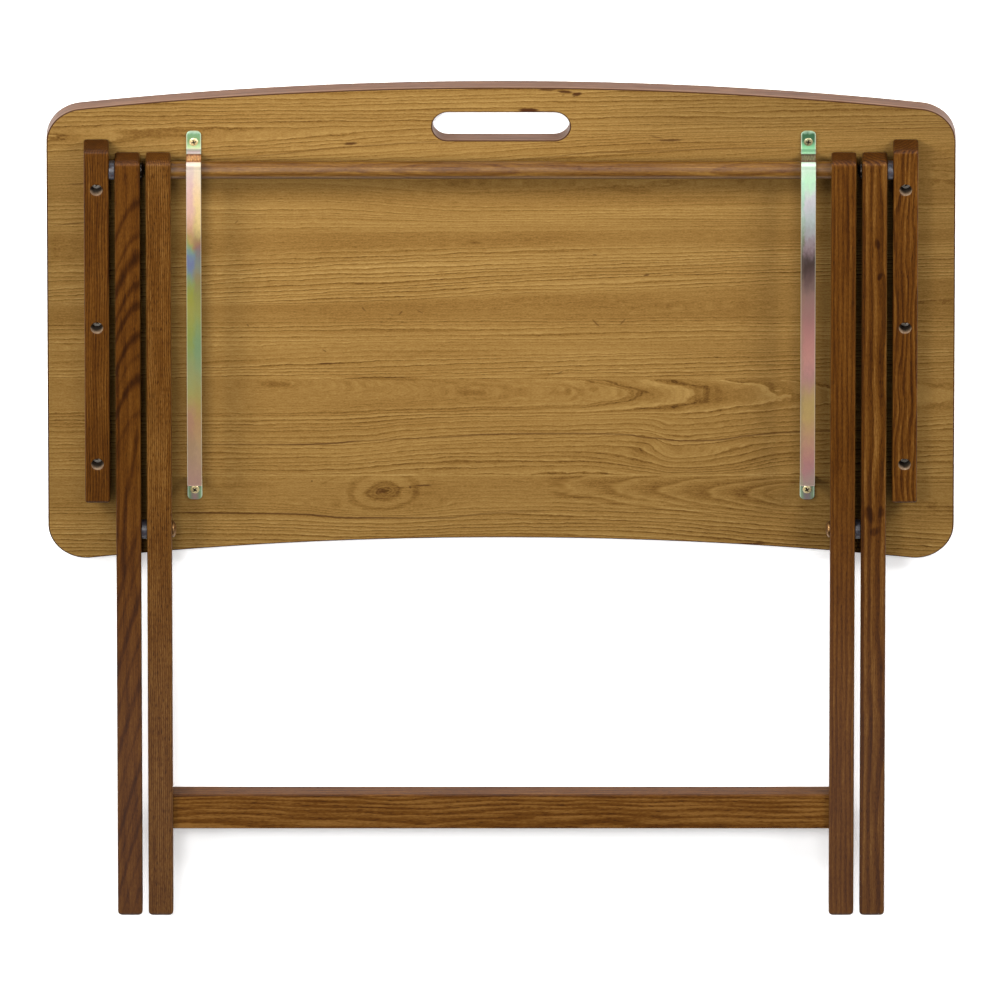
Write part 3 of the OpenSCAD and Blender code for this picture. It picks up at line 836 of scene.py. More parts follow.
    dark = g.most(dark, long_line([(-250, 409.5), (-185, 408.7), (-141, 409.4), (-112, 412), (-80, 413.6), (-40, 415.6), (0, 418.2), (60, 418.6), (93, 418), (112, 415.2), (124, 414.2), (147, 412.2), (190, 416.4), (234, 420.2), (300, 422)], 1.1, 0.62)
                  * g.trace(X, [(-250, 0.5), (-190, 0.6), (-150, 1.3), (-118, 1.2), (-104, 0.45), (-60, 0.5), (-12, 1.05), (90, 0.9), (160, 1.1), (300, 1.0)], False))
    dark = g.most(dark, long_line([(-256, 348.5), (-200, 347.6), (-160, 347), (-140, 345.4), (-110, 343.6), (-79, 343.6), (-50, 343.4), (-30, 345.2), (0, 348.3), (20, 349), (40, 350)], 1.2, 0.85)
                  * g.trace(X, [(-256, 0.9), (-170, 0.8), (-150, 1.0), (-100, 1.0), (-60, 0.6), (40, 0.3)], False))
    dark = g.most(dark, long_line([(-236, 661), (-190, 664.5), (-130, 671.5), (-60, 677), (0, 680.5)], 1.0, 0.3))
    dark = g.most(dark, long_line([(10, 661.5), (40, 664), (70, 667.2), (110, 668.6), (170, 671), (240, 672)], 0.9, 0.42))
    seam = g.step(g.math("ABSOLUTE", S - 381.6 + fine_wob * 0.3), 1.0, 0.2)

    # colour
    C = g.ramp(t + seam * 0.2, [(0.0, tone(82, 53, 20, k)), (0.2, tone(120, 84, 37, k)), (0.38, tone(148, 109, 53, k)), (0.52, tone(163, 124, 65, k)),
                   (0.68, tone(177, 138, 76, k)), (0.85, tone(192, 153, 89, k)), (1.0, tone(206, 170, 106, k))], "CARDINAL")
    C = g.mix(dark, C, tone(84, 48, 22, k))
    # painted shade: darker below and towards the far edges, with painted light in the low outer corners and painted
    # shade in the upper right
    painted_light_and_shade = g.trace(S, [(300, 0.93), (360, 0.95), (420, 1.0), (500, 1.02), (640, 1.0), (690, 1.0), (730, 0.98)]) * g.trace(X, [(-360, 0.86), (-270, 0.92), (-200, 0.99), (0, 1.0), (100, 0.97), (200, 0.9), (300, 0.86), (360, 0.81)])
    painted_light_and_shade = painted_light_and_shade + g.step(S, 560.0, 420.0) * g.step(g.math("ABSOLUTE", X), 250.0, 340.0) * 0.14
    painted_light_and_shade = painted_light_and_shade - g.step(S, 660.0, 700.0) * g.step(X, 40.0, 140.0) * 0.13
    C = g.vmath("SCALE", C, scale=(painted_light_and_shade - 1.0) * under + 1.0)
    g.bump(fibre, 0.12, 0.00012)
    return g.shader(Base_Color=C, Roughness=g.step(fibre, -0.3, 0.3, 0.46, 0.38), **{"Specular_IOR_Level": 0.08})


LAMINATE = make_laminate()


# ---------------------------------------------------------------- stained hardwood

def make_stained(name, along, centre, k=0.585, seed=0.0, pith=(9.0, -26.0), gap=2.6, wander=5.0, tones=None, figure=None,
                 streak=0.4, pore=0.4, ring_amount=0.5, shift=0.0, gloss=0.4, level=0.1, knots=(), low=0.0, ends=None):
    """Open-grained hardwood, stained and lacquered. All places are in mm in the folded pose."""
    g = Graph(name)
    x, y, z = g.split(g.vmath("SCALE", g.co, scale=1000.0))
    if along == "y":
        w, u, v = y, x - centre[0], z - centre[1]
    else:
        w, u, v = x, y - centre[0], z - centre[1]
    slow = g.noise(g.join(u * 0.02 + seed, w * 0.0065, v * 0.02), 1.0, 2.0, 0.55) - 0.5
    fast = g.noise(g.join(u * 0.12 + seed, w * 0.02, v * 0.12), 1.0, 2.0, 0.55) - 0.5
    pu = u - pith[0] + slow * wander * 4.0
    pv = v - pith[1] + slow * wander * 2.0
    r = g.math("SQRT", pu * pu + pv * pv) + fast * 1.6
    f = g.math("FRACT", r / gap + slow * 1.5)
    ring = g.trace(f, [(0.0, 0.25), (0.08, 0.0), (0.3, 0.1), (0.52, 0.7), (0.8, 1.0), (0.94, 0.9), (1.0, 0.25)])
    fibre = g.noise(g.join(u * 1.5 + seed, w * 0.045, v * 1.5), 1.0, 3.0, 0.6) - 0.5
    streaks = g.noise(g.join(u * 0.42 + seed, w * 0.011, v * 0.42), 1.0, 2.0, 0.55) - 0.5
    pores = g.noise(g.join(u * 2.6 + seed, w * 0.17, v * 2.6), 1.0, 1.5, 0.5)
    pores = g.step(pores, 0.44, 0.3) * (1.0 - ring * 0.6)
    fleck = g.noise(g.join(u * 1.1, w * 0.3, v * 1.1 + seed), 1.0, 2.0, 0.6) - 0.5
    cloud = g.noise(g.join(u * 0.05, w * 0.016 + seed, v * 0.05), 1.0, 1.0, 0.5) - 0.5
    t = 0.52 + shift + (ring - 0.5) * 0.3 * ring_amount + fibre * 0.66 + streaks * streak * 1.3 + fleck * 0.42 + cloud * 0.28 - pores * pore
    if low:
        # painted light: a little paler towards the feet
        t = t + g.step(w, 60.0, -260.0) * low * 0.2
    if figure:
        t = t + figure(g, u, w, v, slow, fast, fibre)
    for kx, kw, half, thick, turn, amount in knots:
        t = t - g.lens(u + fast * 3.0, w + fast * 9.0, kx, kw, half, thick, turn, 0.8, amount)
    if ends:
        # end grain drinks more stain
        t = t - (g.step(w, ends[1] - 2.4, ends[1] - 0.9) + g.step(w, ends[0] + 2.4, ends[0] + 0.9)) * 0.24
    tones = tones or [(46, 21, 2), (69, 36, 5), (89, 51, 10), (107, 67, 21), (137, 95, 44)]
    stops = [(p, tone(*c, k)) for p, c in zip((0.08, 0.32, 0.52, 0.72, 0.96), tones)]
    C = g.ramp(t, stops)
    # painted sheen: greyer towards the feet
    if low:
        C = g.mix(g.step(w, 60.0, -260.0) * 0.13, C, tone(118, 96, 92, k))
    g.bump(fibre - pores * 1.2, 0.22, 0.00012)
    return g.shader(Base_Color=C, Roughness=g.step(fibre, -0.3, 0.3, gloss + 0.08, gloss),
                    **{"Specular_IOR_Level": level})


def arches(spots, lean, flat=1.7, edge=9.75, side=1, fade=(330, 470), amount=0.4):
    """Bands of flat-sawn grain that rise across the leg to one side; spots are (S, width, strength)."""
    def figure(g, u, w, v, slow, fast, fibre):
        S = w + 362.5
        across = g.math("MAXIMUM", (edge - u * side) / (2 * edge), 0.0)
        F = S + g.math("POWER", across, flat) * lean + fast * 4.0 + fibre * 3.0
        pts = [(-40, 0)]
        for s, wd, st in sorted(spots):
            pts += [(s - wd, 0), (s - wd * 0.2, st), (s + wd * 0.25, st * 0.75), (s + wd * 0.9, 0)]
        pts = [p for i, p in enumerate(pts) if i == 0 or p[0] > pts[i - 1][0]] + [(760, 0)]
        out = []
        for p in pts:
            if not out or p[0] > out[-1][0] + 0.2:
                out.append(p)
        return -(g.trace(F, out, False) * g.step(S, *fade)) * amount
    return figure


def steep(lines, amount=0.35):
    """Long dark streaks that follow points (S, X from the leg's middle), each with a width and strength."""
    def figure(g, u, w, v, slow, fast, fibre):
        S = w + 362.5
        total = None
        for pts, width, st in lines:
            d = g.math("ABSOLUTE", u - g.trace(S, pts) + fast * 1.2)
            lo, hi = pts[0][0], pts[-1][0]
            one = g.step(d, width, 0.1 * width, 0.0, st) * g.step(S, lo, lo + 15.0) * g.step(S, hi, hi - 15.0)
            total = one if total is None else g.most(total, one)
        return -total * amount
    return figure


def both(*figures):
    def figure(g, *a):
        out = None
        for f in figures:
            v = f(g, *a)
            out = v if out is None else out + v
        return out
    return figure


def mid_mm(node):
    lo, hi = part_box(node)
    return [(lo[i] + hi[i]) * 500.0 for i in range(3)]


def ends_mm(node):
    lo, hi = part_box(node)
    return lo.y * 1000.0, hi.y * 1000.0


WOOD = {}
c = mid_mm("side_rail_left")
WOOD["rail_left"] = make_stained("rail_left_look", "y", (c[0], c[2]), ends=ends_mm("side_rail_left"), seed=3.1, pith=(40, 30), gap=1.9, wander=3, streak=0.35, ring_amount=0.7)
c = mid_mm("side_rail_right")
WOOD["rail_right"] = make_stained("rail_right_look", "y", (c[0], c[2]), ends=ends_mm("side_rail_right"), k=0.64, seed=11.7, pith=(-34, -40), gap=2.6, wander=4, streak=0.5, ring_amount=0.9, pore=0.35)
c = mid_mm("outer_leg_left")
WOOD["outer_left"] = make_stained(
    "outer_leg_left_look", "y", (c[0], c[2]), ends=ends_mm("outer_leg_left"), k=0.65, low=0.1, seed=23.0, pith=(30, -60), gap=3.2, wander=3, streak=0.25, ring_amount=0.3, pore=0.3, shift=0.0,
    figure=both(arches([(637, 6, 0.8), (608, 4, 0.6), (589, 10, 1.0), (565, 6, 0.8), (547, 6, 1.0), (520, 6, 1.0), (500, 3, 0.4), (481, 7, 1.0), (450, 4, 0.5)], 34, 1.9, amount=0.42),
                arches([(30, 5, 0.5), (60, 5, 0.5), (90, 8, 0.8), (115, 5, 0.5), (140, 9, 0.9), (178, 6, 0.5), (214, 10, 0.8), (252, 7, 0.6), (290, 11, 0.9), (322, 7, 0.5), (352, 9, 0.6)], 72, 1.15, fade=(372, 330), amount=0.34),
                steep([([(300, -5), (360, -3), (400, 3), (440, 8)], 3.0, 0.8), ([(330, -8.5), (420, -7.5), (500, -8)], 1.6, 0.6)], 0.34)))
c = mid_mm("inner_leg_left")
WOOD["inner_left"] = make_stained("inner_leg_left_look", "y", (c[0], c[2]), ends=ends_mm("inner_leg_left"), k=0.555, low=0.1, seed=31.0, pith=(-60, 20), gap=1.6, wander=2, streak=0.35, ring_amount=0.7, pore=1.15, shift=0.19)
c = mid_mm("inner_leg_right")
WOOD["inner_right"] = make_stained("inner_leg_right_look", "y", (c[0], c[2]), ends=ends_mm("inner_leg_right"), k=0.66, low=0.1, seed=47.0, pith=(45, -50), gap=2.2, wander=3, streak=0.35, ring_amount=0.6, pore=0.3, shift=0.0,
                                   figure=steep([([(560, 2), (600, 3), (670, 1)], 3.0, 0.6), ([(380, -6), (450, -5), (520, -7)], 1.6, 0.4), ([(400, 7), (470, 6.5), (560, 7)], 1.4, 0.4)], 0.3))
c = mid_mm("outer_leg_right")
WOOD["outer_right"] = make_stained("outer_leg_right_look", "y", (c[0], c[2]), ends=ends_mm("outer_leg_right"), k=0.6, low=0.1, seed=59.0, pith=(18, -22), gap=3.4, wander=4.5, streak=0.4, ring_amount=1.05, pore=0.45, shift=0.04,
                                   knots=((-3, -2, 5, 9, 20, 0.35), (1, -17, 4, 5, -20, 0.35), (6, -1, 3, 7, 0, 0.3), (2.0, 237, 2.5, 6, 10, 0.35), (4.2, 208.5, 2.5, 5, -25, 0.4)))
c = mid_mm("stretcher")
crown = (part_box("stretcher")[1].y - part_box("stretcher")[0].y) * 500.0


def painted_shade_upper_face(g, u, w, v, slow, fast, fibre):
    """Painted shade: the face that looks up when the table stands folded is darker."""
    return g.step(u, crown - 1.9, crown - 0.7) * -0.26


WOOD["stretcher"] = make_stained("stretcher_look", "x", (c[1], c[2]), k=0.66, seed=67.0, pith=(-20, -34), gap=2.1, wander=1.6, streak=0.4, ring_amount=0.75, pore=0.5, shift=0.22, level=0.12, figure=painted_shade_upper_face)
c = mid_mm("crossbar_dowel")
WOOD["dowel"] = make_stained("crossbar_look", "x", (c[1], c[2]), k=0.44, seed=73.0, pith=(-14, -20), gap=2.4, wander=4, streak=0.5, ring_amount=0.5, pore=0.3, shift=0.1, gloss=0.3, level=0.28,
                             tones=[(68, 34, 6), (94, 54, 15), (116, 74, 25), (134, 92, 36), (166, 122, 58)])


def make_bare():
    """Unstained wood inside drilled holes, with painted shade towards their deep end."""
    g = Graph("bare_wood_painted_shade_look")
    co = g.vmath("SCALE", g.co, scale=1000.0)
    n = g.noise(co, 0.8, 3.0, 0.6)
    m = g.noise(co, 0.22, 2.0, 0.5)
    C = g.ramp(n * 0.6 + m * 0.4, [(0.3, tone(104, 78, 54, 0.55)), (0.5, tone(156, 126, 96, 0.55)), (0.7, tone(190, 166, 136, 0.55))])
    # painted shade: darker towards the deep end of the holes
    x, y, z = g.split(co)
    C = g.vmath("SCALE", C, scale=g.step(z - UNDER_Z * 1000.0, 13.5, 20.5, 0.22, 1.0))
    return g.shader(Base_Color=C, Roughness=0.7)


BARE_WOOD = make_bare()


# ---------------------------------------------------------------- banding

def make_banding():
    """Wood-print edge banding: a brown strip with darker lines that follow the edge."""
    g = Graph("edge_band_look")
    x, y, z = g.split(g.vmath("SCALE", g.co, scale=1000.0))
    n = g.noise(g.join(x * 0.02, y * 0.05, z * 0.9), 1.0, 3.0, 0.6)
    m = g.noise(g.join(x * 0.08, y * 0.08, z * 2.2), 1.0, 2.0, 0.6)
    t = n * 0.6 + m * 0.4
    C = g.ramp(t, [(0.3, tone(74, 44, 28, 0.5)), (0.45, tone(104, 68, 46, 0.5)), (0.58, tone(126, 88, 62, 0.5)), (0.72, tone(150, 110, 80, 0.5))])
    # painted reflection: paler towards the face; then the dark glue line
    C = g.mix(g.step(z, 9.4, 11.2) * 0.4, C, tone(160, 124, 92, 0.55))
    C = g.mix(g.step(z, 11.5, 11.75) * 0.95, C, tone(66, 34, 14, 0.62))
    g.bump(t, 0.1, 0.0001)
    return g.shader(Base_Color=C, Roughness=0.4, **{"Specular_IOR_Level": 0.14})


BANDING = make_banding()


# ---------------------------------------------------------------- chromate-plated strips

def make_strap_look(side, runs, tabs, k=1.08):
    """Iridescent yellow chromate on a steel strip: its hue follows the thickness of the film."""
    g = Graph("strap_%s_look" % side)
    co = g.vmath("SCALE", g.co, scale=1000.0)
    x, y, z = g.split(co)
    m = -1 if side == "left" else 1
    c = mid_mm("guide_strap_" + side)[0]
    U = (x - c) / 5.75
    S = y + 362.5
    T = z - UNDER_Z * 1000.0
    wave = g.noise(g.join(x * 0.14, y * 0.05, z * 0.1), 1.0, 2.0, 0.55) - 0.5
    patch = g.noise(g.join(x * 0.5, y * 0.22, z * 0.3), 1.0, 2.5, 0.6) - 0.5
    grit = g.noise(co, 1.7, 2.0, 0.7) - 0.5
    s2 = S + wave * 16.0 + patch * 9.0 + U * (2.0 if side == "left" else -1.5)
    lo, hi = runs[0][0], runs[-1][0]

    def film(which):
        t = g.line(s2, lo, hi)
        return g.ramp(t, [((r[0] - lo) / (hi - lo), tone(*r[which], k)) for r in runs], "CARDINAL")
    if side == "left":
        half = g.step(U + patch * 0.9 + wave * 0.8, -0.35, 0.35)
    else:
        half = g.step(U + patch * 0.7 + wave * 0.7, -0.8, -0.4)
    C = g.mix(half, film(1), film(2))
    # thin painted highlights along both edges of the strip
    edge = g.step(g.math("ABSOLUTE", U), 0.87, 0.96)
    C = g.mix(edge * 0.42, C, tone(214, 212, 190, k))
    # standoffs and tabs
    # standoffs, coloured brown with painted shade and painted reflection of the wood, and tabs
    slope = g.step(T, 24.0, 22.5) * g.step(T, 2.2, 3.6)
    band = g.noise(g.join(x * 1.6, y * 0.1, z * 0.15), 1.0, 2.0, 0.6)
    up_colours, low_colours, stand = tabs
    C_stand_painted = g.ramp(band, [(0.35, tone(*stand[0], k)), (0.55, tone(*stand[1], k)), (0.7, tone(*stand[2], k))])
    C = g.mix(slope, C, C_stand_painted)
    tab = g.step(T, 3.6, 2.0)
    up = g.ramp(g.line(S + patch * 3.0, 664.0, 688.0), [(p, tone(*col, k)) for p, col in up_colours])
    low = g.ramp(g.math("ABSOLUTE", U + patch * 0.4), [(p, tone(*col, k)) for p, col in low_colours])
    C_tab = g.mix(g.step(S, 500.0, 501.0), low, up)
    # painted highlight round the rim of each tab
    C_tab = g.mix(g.step(g.math("ABSOLUTE", U), 0.82, 0.92) * 0.7, C_tab, tone(212, 232, 208, k))
    C = g.mix(tab, C, C_tab)
    # fine speckle and patches in the film
    C = g.vmath("SCALE", C, scale=grit * 0.22 + patch * 0.16 + 1.0)
    # the tight bends are darker and rougher than the flats
    bend = g.most(g.step(S, 672.2, 671.0) * g.step(T, 8.0, 5.5) * g.step(S, 662.8, 664.4),
                  g.step(T, 18.0, 20.5) * g.step(S, 665.8, 667.3) * 0.72)
    C = g.vmath("SCALE", C, scale=1.0 - bend * 0.6)
    g.bump(grit, 0.06, 0.00008)
    return g.shader(Base_Color=C, Roughness=g.step(grit, -0.25, 0.25, 0.42, 0.34) + bend * 0.45, Metallic=0.6, **{"Specular_IOR_Level": 0.6})


LEFT_RUN = [
    (388, (165, 130, 115), (165, 130, 115)), (420, (160, 130, 100), (168, 138, 104)), (445, (168, 128, 98), (170, 135, 92)),
    (465, (160, 147, 88), (158, 143, 84)), (490, (142, 148, 98), (138, 146, 100)), (515, (136, 148, 80), (122, 145, 102)),
    (540, (152, 148, 74), (142, 144, 80)), (560, (142, 146, 74), (138, 134, 80)), (572, (122, 140, 122), (138, 124, 88)),
    (582, (112, 120, 150), (128, 130, 112)), (592, (126, 146, 130), (124, 118, 114)), (600, (160, 152, 92), (150, 112, 92)),
    (610, (195, 152, 115), (175, 150, 100)), (625, (222, 178, 157), (227, 198, 137)), (650, (228, 190, 180), (240, 208, 165)),
    (668, (225, 205, 190), (236, 218, 190))]
RIGHT_RUN = [
    (388, (160, 145, 125), (158, 135, 124)), (405, (165, 128, 112), (170, 122, 118)), (430, (170, 135, 105), (178, 139, 107)),
    (460, (165, 140, 95), (176, 148, 94)), (480, (168, 130, 112), (172, 130, 118)), (500, (172, 130, 115), (184, 131, 121)),
    (530, (158, 118, 104), (162, 115, 109)), (555, (138, 108, 96), (135, 105, 97)), (572, (108, 88, 76), (95, 74, 70)),
    (586, (88, 74, 66), (79, 65, 62)), (597, (112, 105, 90), (135, 116, 118)), (606, (135, 142, 120), (156, 149, 150)),
    (620, (162, 178, 160), (174, 182, 178)), (640, (182, 212, 188), (205, 205, 205)), (655, (196, 238, 205), (195, 235, 198)),
    (668, (215, 240, 215), (210, 235, 210))]
# the third list of each strap colours its standoffs with painted shade and painted reflection of the wood
STRAP = {
    "left": make_strap_look("left", LEFT_RUN, (
        [(0.0, (236, 226, 214)), (0.22, (226, 206, 200)), (0.4, (170, 214, 166)), (0.6, (120, 160, 112)), (0.85, (120, 166, 124)), (1.0, (206, 232, 210))],
        [(0.0, (168, 138, 132)), (0.35, (150, 140, 124)), (0.7, (128, 160, 118)), (1.0, (186, 214, 180))],
        [(140, 84, 44), (186, 120, 70), (222, 160, 104)])),
    "right": make_strap_look("right", RIGHT_RUN, (
        [(0.0, (226, 246, 222)), (0.2, (172, 232, 180)), (0.42, (130, 200, 150)), (0.62, (64, 104, 74)), (0.85, (62, 104, 72)), (1.0, (190, 224, 196))],
        [(0.0, (150, 132, 134)), (0.4, (142, 140, 132)), (0.75, (140, 166, 132)), (1.0, (188, 216, 184))],
        [(78, 48, 34), (118, 82, 62), (150, 124, 100)]))}


# ---------------------------------------------------------------- hardware and floor

def make_metal(name, dark, mid, light, rough, scale=0.9, metallic=1.0, spot=None):
    g = Graph(name)
    co = g.vmath("SCALE", g.co, scale=1000.0)
    a = g.noise(co, scale, 3.0, 0.6)
    b = g.noise(co, scale * 0.3, 2.0, 0.5)
    C = g.ramp(a * 0.55 + b * 0.45, [(0.34, tone(*dark)), (0.5, tone(*mid)), (0.66, tone(*light))])
    if spot:
        # the upper right one is duller and greener than the rest
        x, y, z = g.split(co)
        C = g.mix(g.step(x, 0.0, 20.0) * g.step(y, 150.0, 200.0) * 0.75, C, tone(*spot))
    g.bump(a, 0.08, 0.00008)
    return g.shader(Base_Color=C, Roughness=g.step(a, 0.35, 0.65, rough + 0.05, rough - 0.04), Metallic=metallic)


DARK_BOLT = make_metal("dark_bolt_look", (30, 26, 24), (52, 46, 42), (84, 76, 70), 0.3)
BRASS = make_metal("brass_look", (84, 58, 30), (116, 84, 48), (150, 114, 70), 0.4, metallic=0.8)
BRIGHT_SCREW = make_metal("bright_screw_look", (168, 164, 156), (214, 210, 200), (242, 240, 234), 0.3, metallic=0.55)
# painted shade for the inside of the cross recesses
RECESS_PAINTED_SHADE = make_metal("recess_painted_shade_look", (30, 24, 18), (50, 42, 32), (76, 64, 48), 0.45, metallic=0.4)
YELLOW_SCREW = make_metal("yellow_screw_look", (156, 138, 92), (204, 186, 136), (236, 222, 178), 0.34, metallic=0.4, spot=(96, 102, 74))


def make_nylon():
    g = Graph("nylon_look")
    co = g.vmath("SCALE", g.co, scale=1000.0)
    n = g.noise(co, 0.5, 3.0, 0.6)
    C = g.ramp(n, [(0.35, tone(74, 69, 76, 0.34)), (0.65, tone(102, 97, 106, 0.34))])
    return g.shader(Base_Color=C, Roughness=0.38, Subsurface_Weight=0.1, **{"Subsurface_Scale": 0.002})


NYLON = make_nylon()


def make_floor():
    g = Graph("floor_look")
    n = g.noise(g.co, 1.3, 2.0, 0.5)
    m = g.noise(g.co, 40.0, 3.0, 0.6)
    C = g.ramp(n * 0.5 + m * 0.5, [(0.3, tone(249, 249, 249, 0.97)), (0.7, tone(254, 254, 254, 0.97))])
    # a faint glow of its own, stronger far from the middle, as on a lit studio sweep
    fx, fy, fz = g.split(g.co)
    away = g.math("SQRT", fx * fx + fy * fy)
    glow = g.step(away, 0.45, 1.4, 0.35, 0.8)
    return g.shader(Base_Color=C, Roughness=0.8, Emission_Color=(1.0, 1.0, 1.0, 1.0), Emission_Strength=glow,
                    **{"Specular_IOR_Level": 0.2})


FLOOR = make_floor()

# ---------------------------------------------------------------- all pieces

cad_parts["tray_board"].data.materials.clear()
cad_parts["tray_board"].data.materials.append(LAMINATE)

band("edge_banding", tray_loop, "tray", "edge_band", "tray_edge_band", BANDING)
band("slot_banding", slot_loop, "tray", "edge_band", "handle_slot_band", BANDING)

for side in ("left", "right"):
    m = -1 if side == "left" else 1
    make_rail("side_rail_" + side, [WOOD["rail_" + side], BARE_WOOD])
    make_leg("outer_leg_" + side, "outer_legs", [WOOD["outer_" + side]])
    make_leg("inner_leg_" + side, "inner_frame", [WOOD["inner_" + side]])
    make_strap("guide_strap_" + side, [STRAP[side]])

    lo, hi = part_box("top_pivot_bolt_" + side)
    seat = m * (max(abs(lo.x), abs(hi.x)) - 37.15 * MM)
    outer_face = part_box("outer_leg_" + side)
    inner_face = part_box("inner_leg_" + side)
    oface = m * min(abs(outer_face[0].x), abs(outer_face[1].x))
    iface = m * min(abs(inner_face[0].x), abs(inner_face[1].x))
    bolt("top_bolt_" + side, "top_pivot_bolt_" + side, "tray", "dark_bolt",
         [(6.1, 0), (6.5, 0.35), (6.5, 1.0), (6.2, 1.7), (5.5, 2.35), (4.5, 2.8), (3.3, 3.05), (2.2, 3.15), (0, 3.2)],
         3 * MM, oface - m * 0.1 * MM, m * max(abs(lo.x), abs(hi.x)), PIVOT_Y, AXIS_Z, DARK_BOLT, 1.9)
    lo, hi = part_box("cross_pivot_bolt_" + side)
    bolt("cross_bolt_" + side, "cross_pivot_bolt_" + side, "inner_frame", "brass_bolt",
         [(6.0, 0), (6.4, 0.35), (6.4, 0.8), (6.1, 1.4), (5.4, 2.1), (4.4, 2.7), (3.2, 3.1), (2.3, 3.3), (0, 3.4)],
         3 * MM, iface, m * max(abs(lo.x), abs(hi.x)), CROSS_Y, AXIS_Z, BRASS, 2.1)
    washer("top_washer_" + side, "top_pivot_washer_" + side, "tray", "nylon", 3.05 * MM, NYLON)
    washer("cross_washer_" + side, "cross_pivot_washer_" + side, "inner_frame", "nylon", 3.05 * MM, NYLON)
    for part in ("top_pivot_insert_", "cross_pivot_insert_"):
        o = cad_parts[part + side]
        o.data.materials.clear()
        o.data.materials.append(BRASS)

lo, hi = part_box("side_rail_left")
rail_x = abs(lo.x + hi.x) / 2
rail_y = lo.y
strap_lo, strap_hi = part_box("guide_strap_right")
strap_x = (strap_lo.x + strap_hi.x) / 2
screws("rail_screw_set", "rail_screws", "tray", "bright_screw",
       [(0, -19), (0.5, -19), (2.0, -17), (2.0, -0.2), (3.8, 0), (4.0, 0.25), (4.0, 1.0), (3.75, 1.6), (3.1, 2.15), (2.2, 2.5), (1.2, 2.66), (0, 2.7)],
       [(m * rail_x, rail_y + d, at_t(10)) for m in (-1, 1) for d in RAIL_SCREWS], 4.4, 1.3, 2.7, BRIGHT_SCREW)
screws("strap_screw_set", "strap_screws", "tray", "yellow_screw",
       [(0, -10), (0.42, -10), (1.75, -8.25), (1.75, -1.3), (3.45, -0.1), (3.5, 0.02), (3.3, 0.25), (2.7, 0.48), (1.8, 0.63), (0.9, 0.69), (0, 0.7)],
       [(m * strap_x, at_s(s), at_t(1.5)) for m in (-1, 1) for s in (677.8, 369.7)], 5.2, 1.5, 0.7, YELLOW_SCREW)

lo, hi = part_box("stretcher")
bm = timber(lo, hi, "x", edge=1.5 * MM, end_thick=0.0, end_side=0.0)
stand_for(weighted(finish_mesh("stretcher_wood", bm, [WOOD["stretcher"]])), "inner_frame", "stained_timber", "stretcher")

lo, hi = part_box("crossbar_dowel")
r = (hi.z - lo.z) / 2
prof = [(0, lo.x), (r - 1.2 * MM, lo.x), (r - 0.35 * MM, lo.x + 0.35 * MM), (r, lo.x + 1.2 * MM)]
prof += [(r, lo.x + 1.2 * MM + (hi.x - lo.x - 2.4 * MM) * k / 24) for k in range(1, 24)]
prof += [(r, hi.x - 1.2 * MM), (r - 0.35 * MM, hi.x - 0.35 * MM), (r - 1.2 * MM, hi.x), (0, hi.x)]
stand_for(weighted(finish_mesh("crossbar_rod", lathe(prof, (0, PIVOT_Y, AXIS_Z), "x", 64), [WOOD["dowel"]])),
          "crossbar", "stained_dowel", "crossbar_dowel")
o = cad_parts["stretcher_dowels"]
o.data.materials.clear()
o.data.materials.append(BARE_WOOD)


# ---------------------------------------------------------------- floor, light and camera

def floor_piece():
    bm = bmesh.new()
    n, r = 64, 14.0
    ring = [bm.verts.new((r * math.cos(2 * math.pi * k / n), r * math.sin(2 * math.pi * k / n), -0.0002)) for k in range(n)]
    bm.faces.new(ring)
    me = bpy.data.meshes.new("floor")
    bm.to_mesh(me)
    bm.free()
    me.materials.append(FLOOR)
    FLOOR.cycles.emission_sampling = "NONE"
    ob = bpy.data.objects.new("floor", me)
    SCENE.collection.objects.link(ob)


def area(name, place, aim, size, power, colour=(1, 1, 1)):
    d = bpy.data.lights.new(name, "AREA")
    d.shape = "RECTANGLE"
    d.size, d.size_y = size
    d.energy = power
    d.color = colour
    o = bpy.data.objects.new(name, d)
    o.location = place
    o.rotation_mode = "QUATERNION"
    o.rotation_quaternion = (Vector(aim) - Vector(place)).to_track_quat("-Z", "Y")
    o.visible_camera = False
    SCENE.collection.objects.link(o)
    return o


floor_piece()

world = bpy.data.worlds.new("studio")
world.use_nodes = True
wt = world.node_tree
sky = wt.nodes["Background"]
sky.inputs[0].default_value = (1.0, 1.0, 1.0, 1.0)
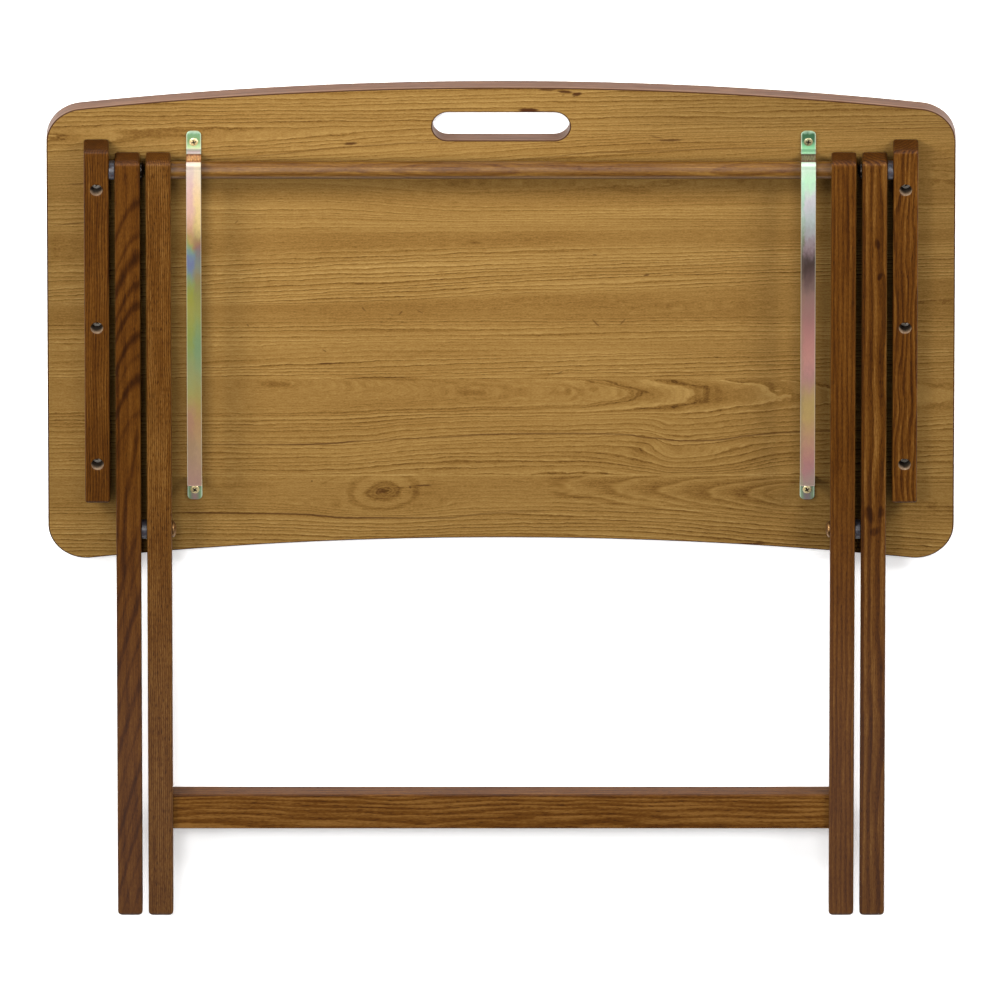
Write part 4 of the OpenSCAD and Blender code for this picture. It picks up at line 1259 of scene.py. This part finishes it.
# the room is pale, and dimmer on the side that faces the light banks
where = wt.nodes.new("ShaderNodeTexCoord")
dot = wt.nodes.new("ShaderNodeVectorMath")
dot.operation = "DOT_PRODUCT"
dot.inputs[1].default_value = (0.0, -0.5, 0.866)
fade = wt.nodes.new("ShaderNodeMapRange")
fade.interpolation_type = "SMOOTHSTEP"
for key, value in (("From Min", 0.35), ("From Max", 0.95), ("To Min", 0.2), ("To Max", 0.05)):
    fade.inputs[key].default_value = value
seen = wt.nodes.new("ShaderNodeLightPath")
pick = wt.nodes.new("ShaderNodeMix")
pick.inputs[3].default_value = 0.97
wt.links.new(where.outputs["Generated"], dot.inputs[0])
wt.links.new(dot.outputs["Value"], fade.inputs["Value"])
wt.links.new(seen.outputs["Is Camera Ray"], pick.inputs[0])
wt.links.new(fade.outputs["Result"], pick.inputs[2])
wt.links.new(pick.outputs[0], sky.inputs[1])
SCENE.world = world
SCENE.view_settings.view_transform = "Standard"
SCENE.view_settings.look = "None"

area("soft_left", (-1.45, 1.5, 0.98), (0, 0.1, 0), (0.6, 0.55), 47)
area("soft_right", (1.45, 1.5, 0.98), (0, 0.1, 0), (0.6, 0.55), 43)
area("side_left", (-1.5, 0.5, 1.0), (0.05, 0.1, 0), (0.9, 0.7), 9)
area("side_right", (1.5, 0.5, 1.0), (-0.05, 0.1, 0), (0.9, 0.7), 10)
area("back_middle", (0.0, 1.8, 1.3), (0, 0.3, 0), (0.5, 0.45), 8)
area("high_left", (-0.7, 1.0, 1.9), (0, 0.1, 0), (0.7, 0.5), 25)
area("high_right", (0.7, 1.0, 1.9), (0, 0.1, 0), (0.7, 0.5), 9)
area("front_fill", (0.0, -2.6, 0.75), (0, -0.1, 0.15), (2.2, 0.9), 16)

cam = bpy.data.cameras.new("camera")
cam.sensor_width = 36.0
far = 36.0
cam.lens = 36.0 * far / 0.7828
cam.clip_start, cam.clip_end = 1.0, 70.0
camera = bpy.data.objects.new("camera", cam)
tilt = math.radians(28.5)
back = Vector((0, math.sin(tilt), math.cos(tilt)))
up = Vector((0, math.cos(tilt), -math.sin(tilt)))
target = Vector((-0.0008, at_s(359.5), UNDER_Z))
rot = Matrix((Vector((1, 0, 0)), up, back)).transposed()
camera.matrix_world = Matrix.Translation(target + back * far) @ rot.to_4x4()
SCENE.collection.objects.link(camera)
SCENE.camera = camera
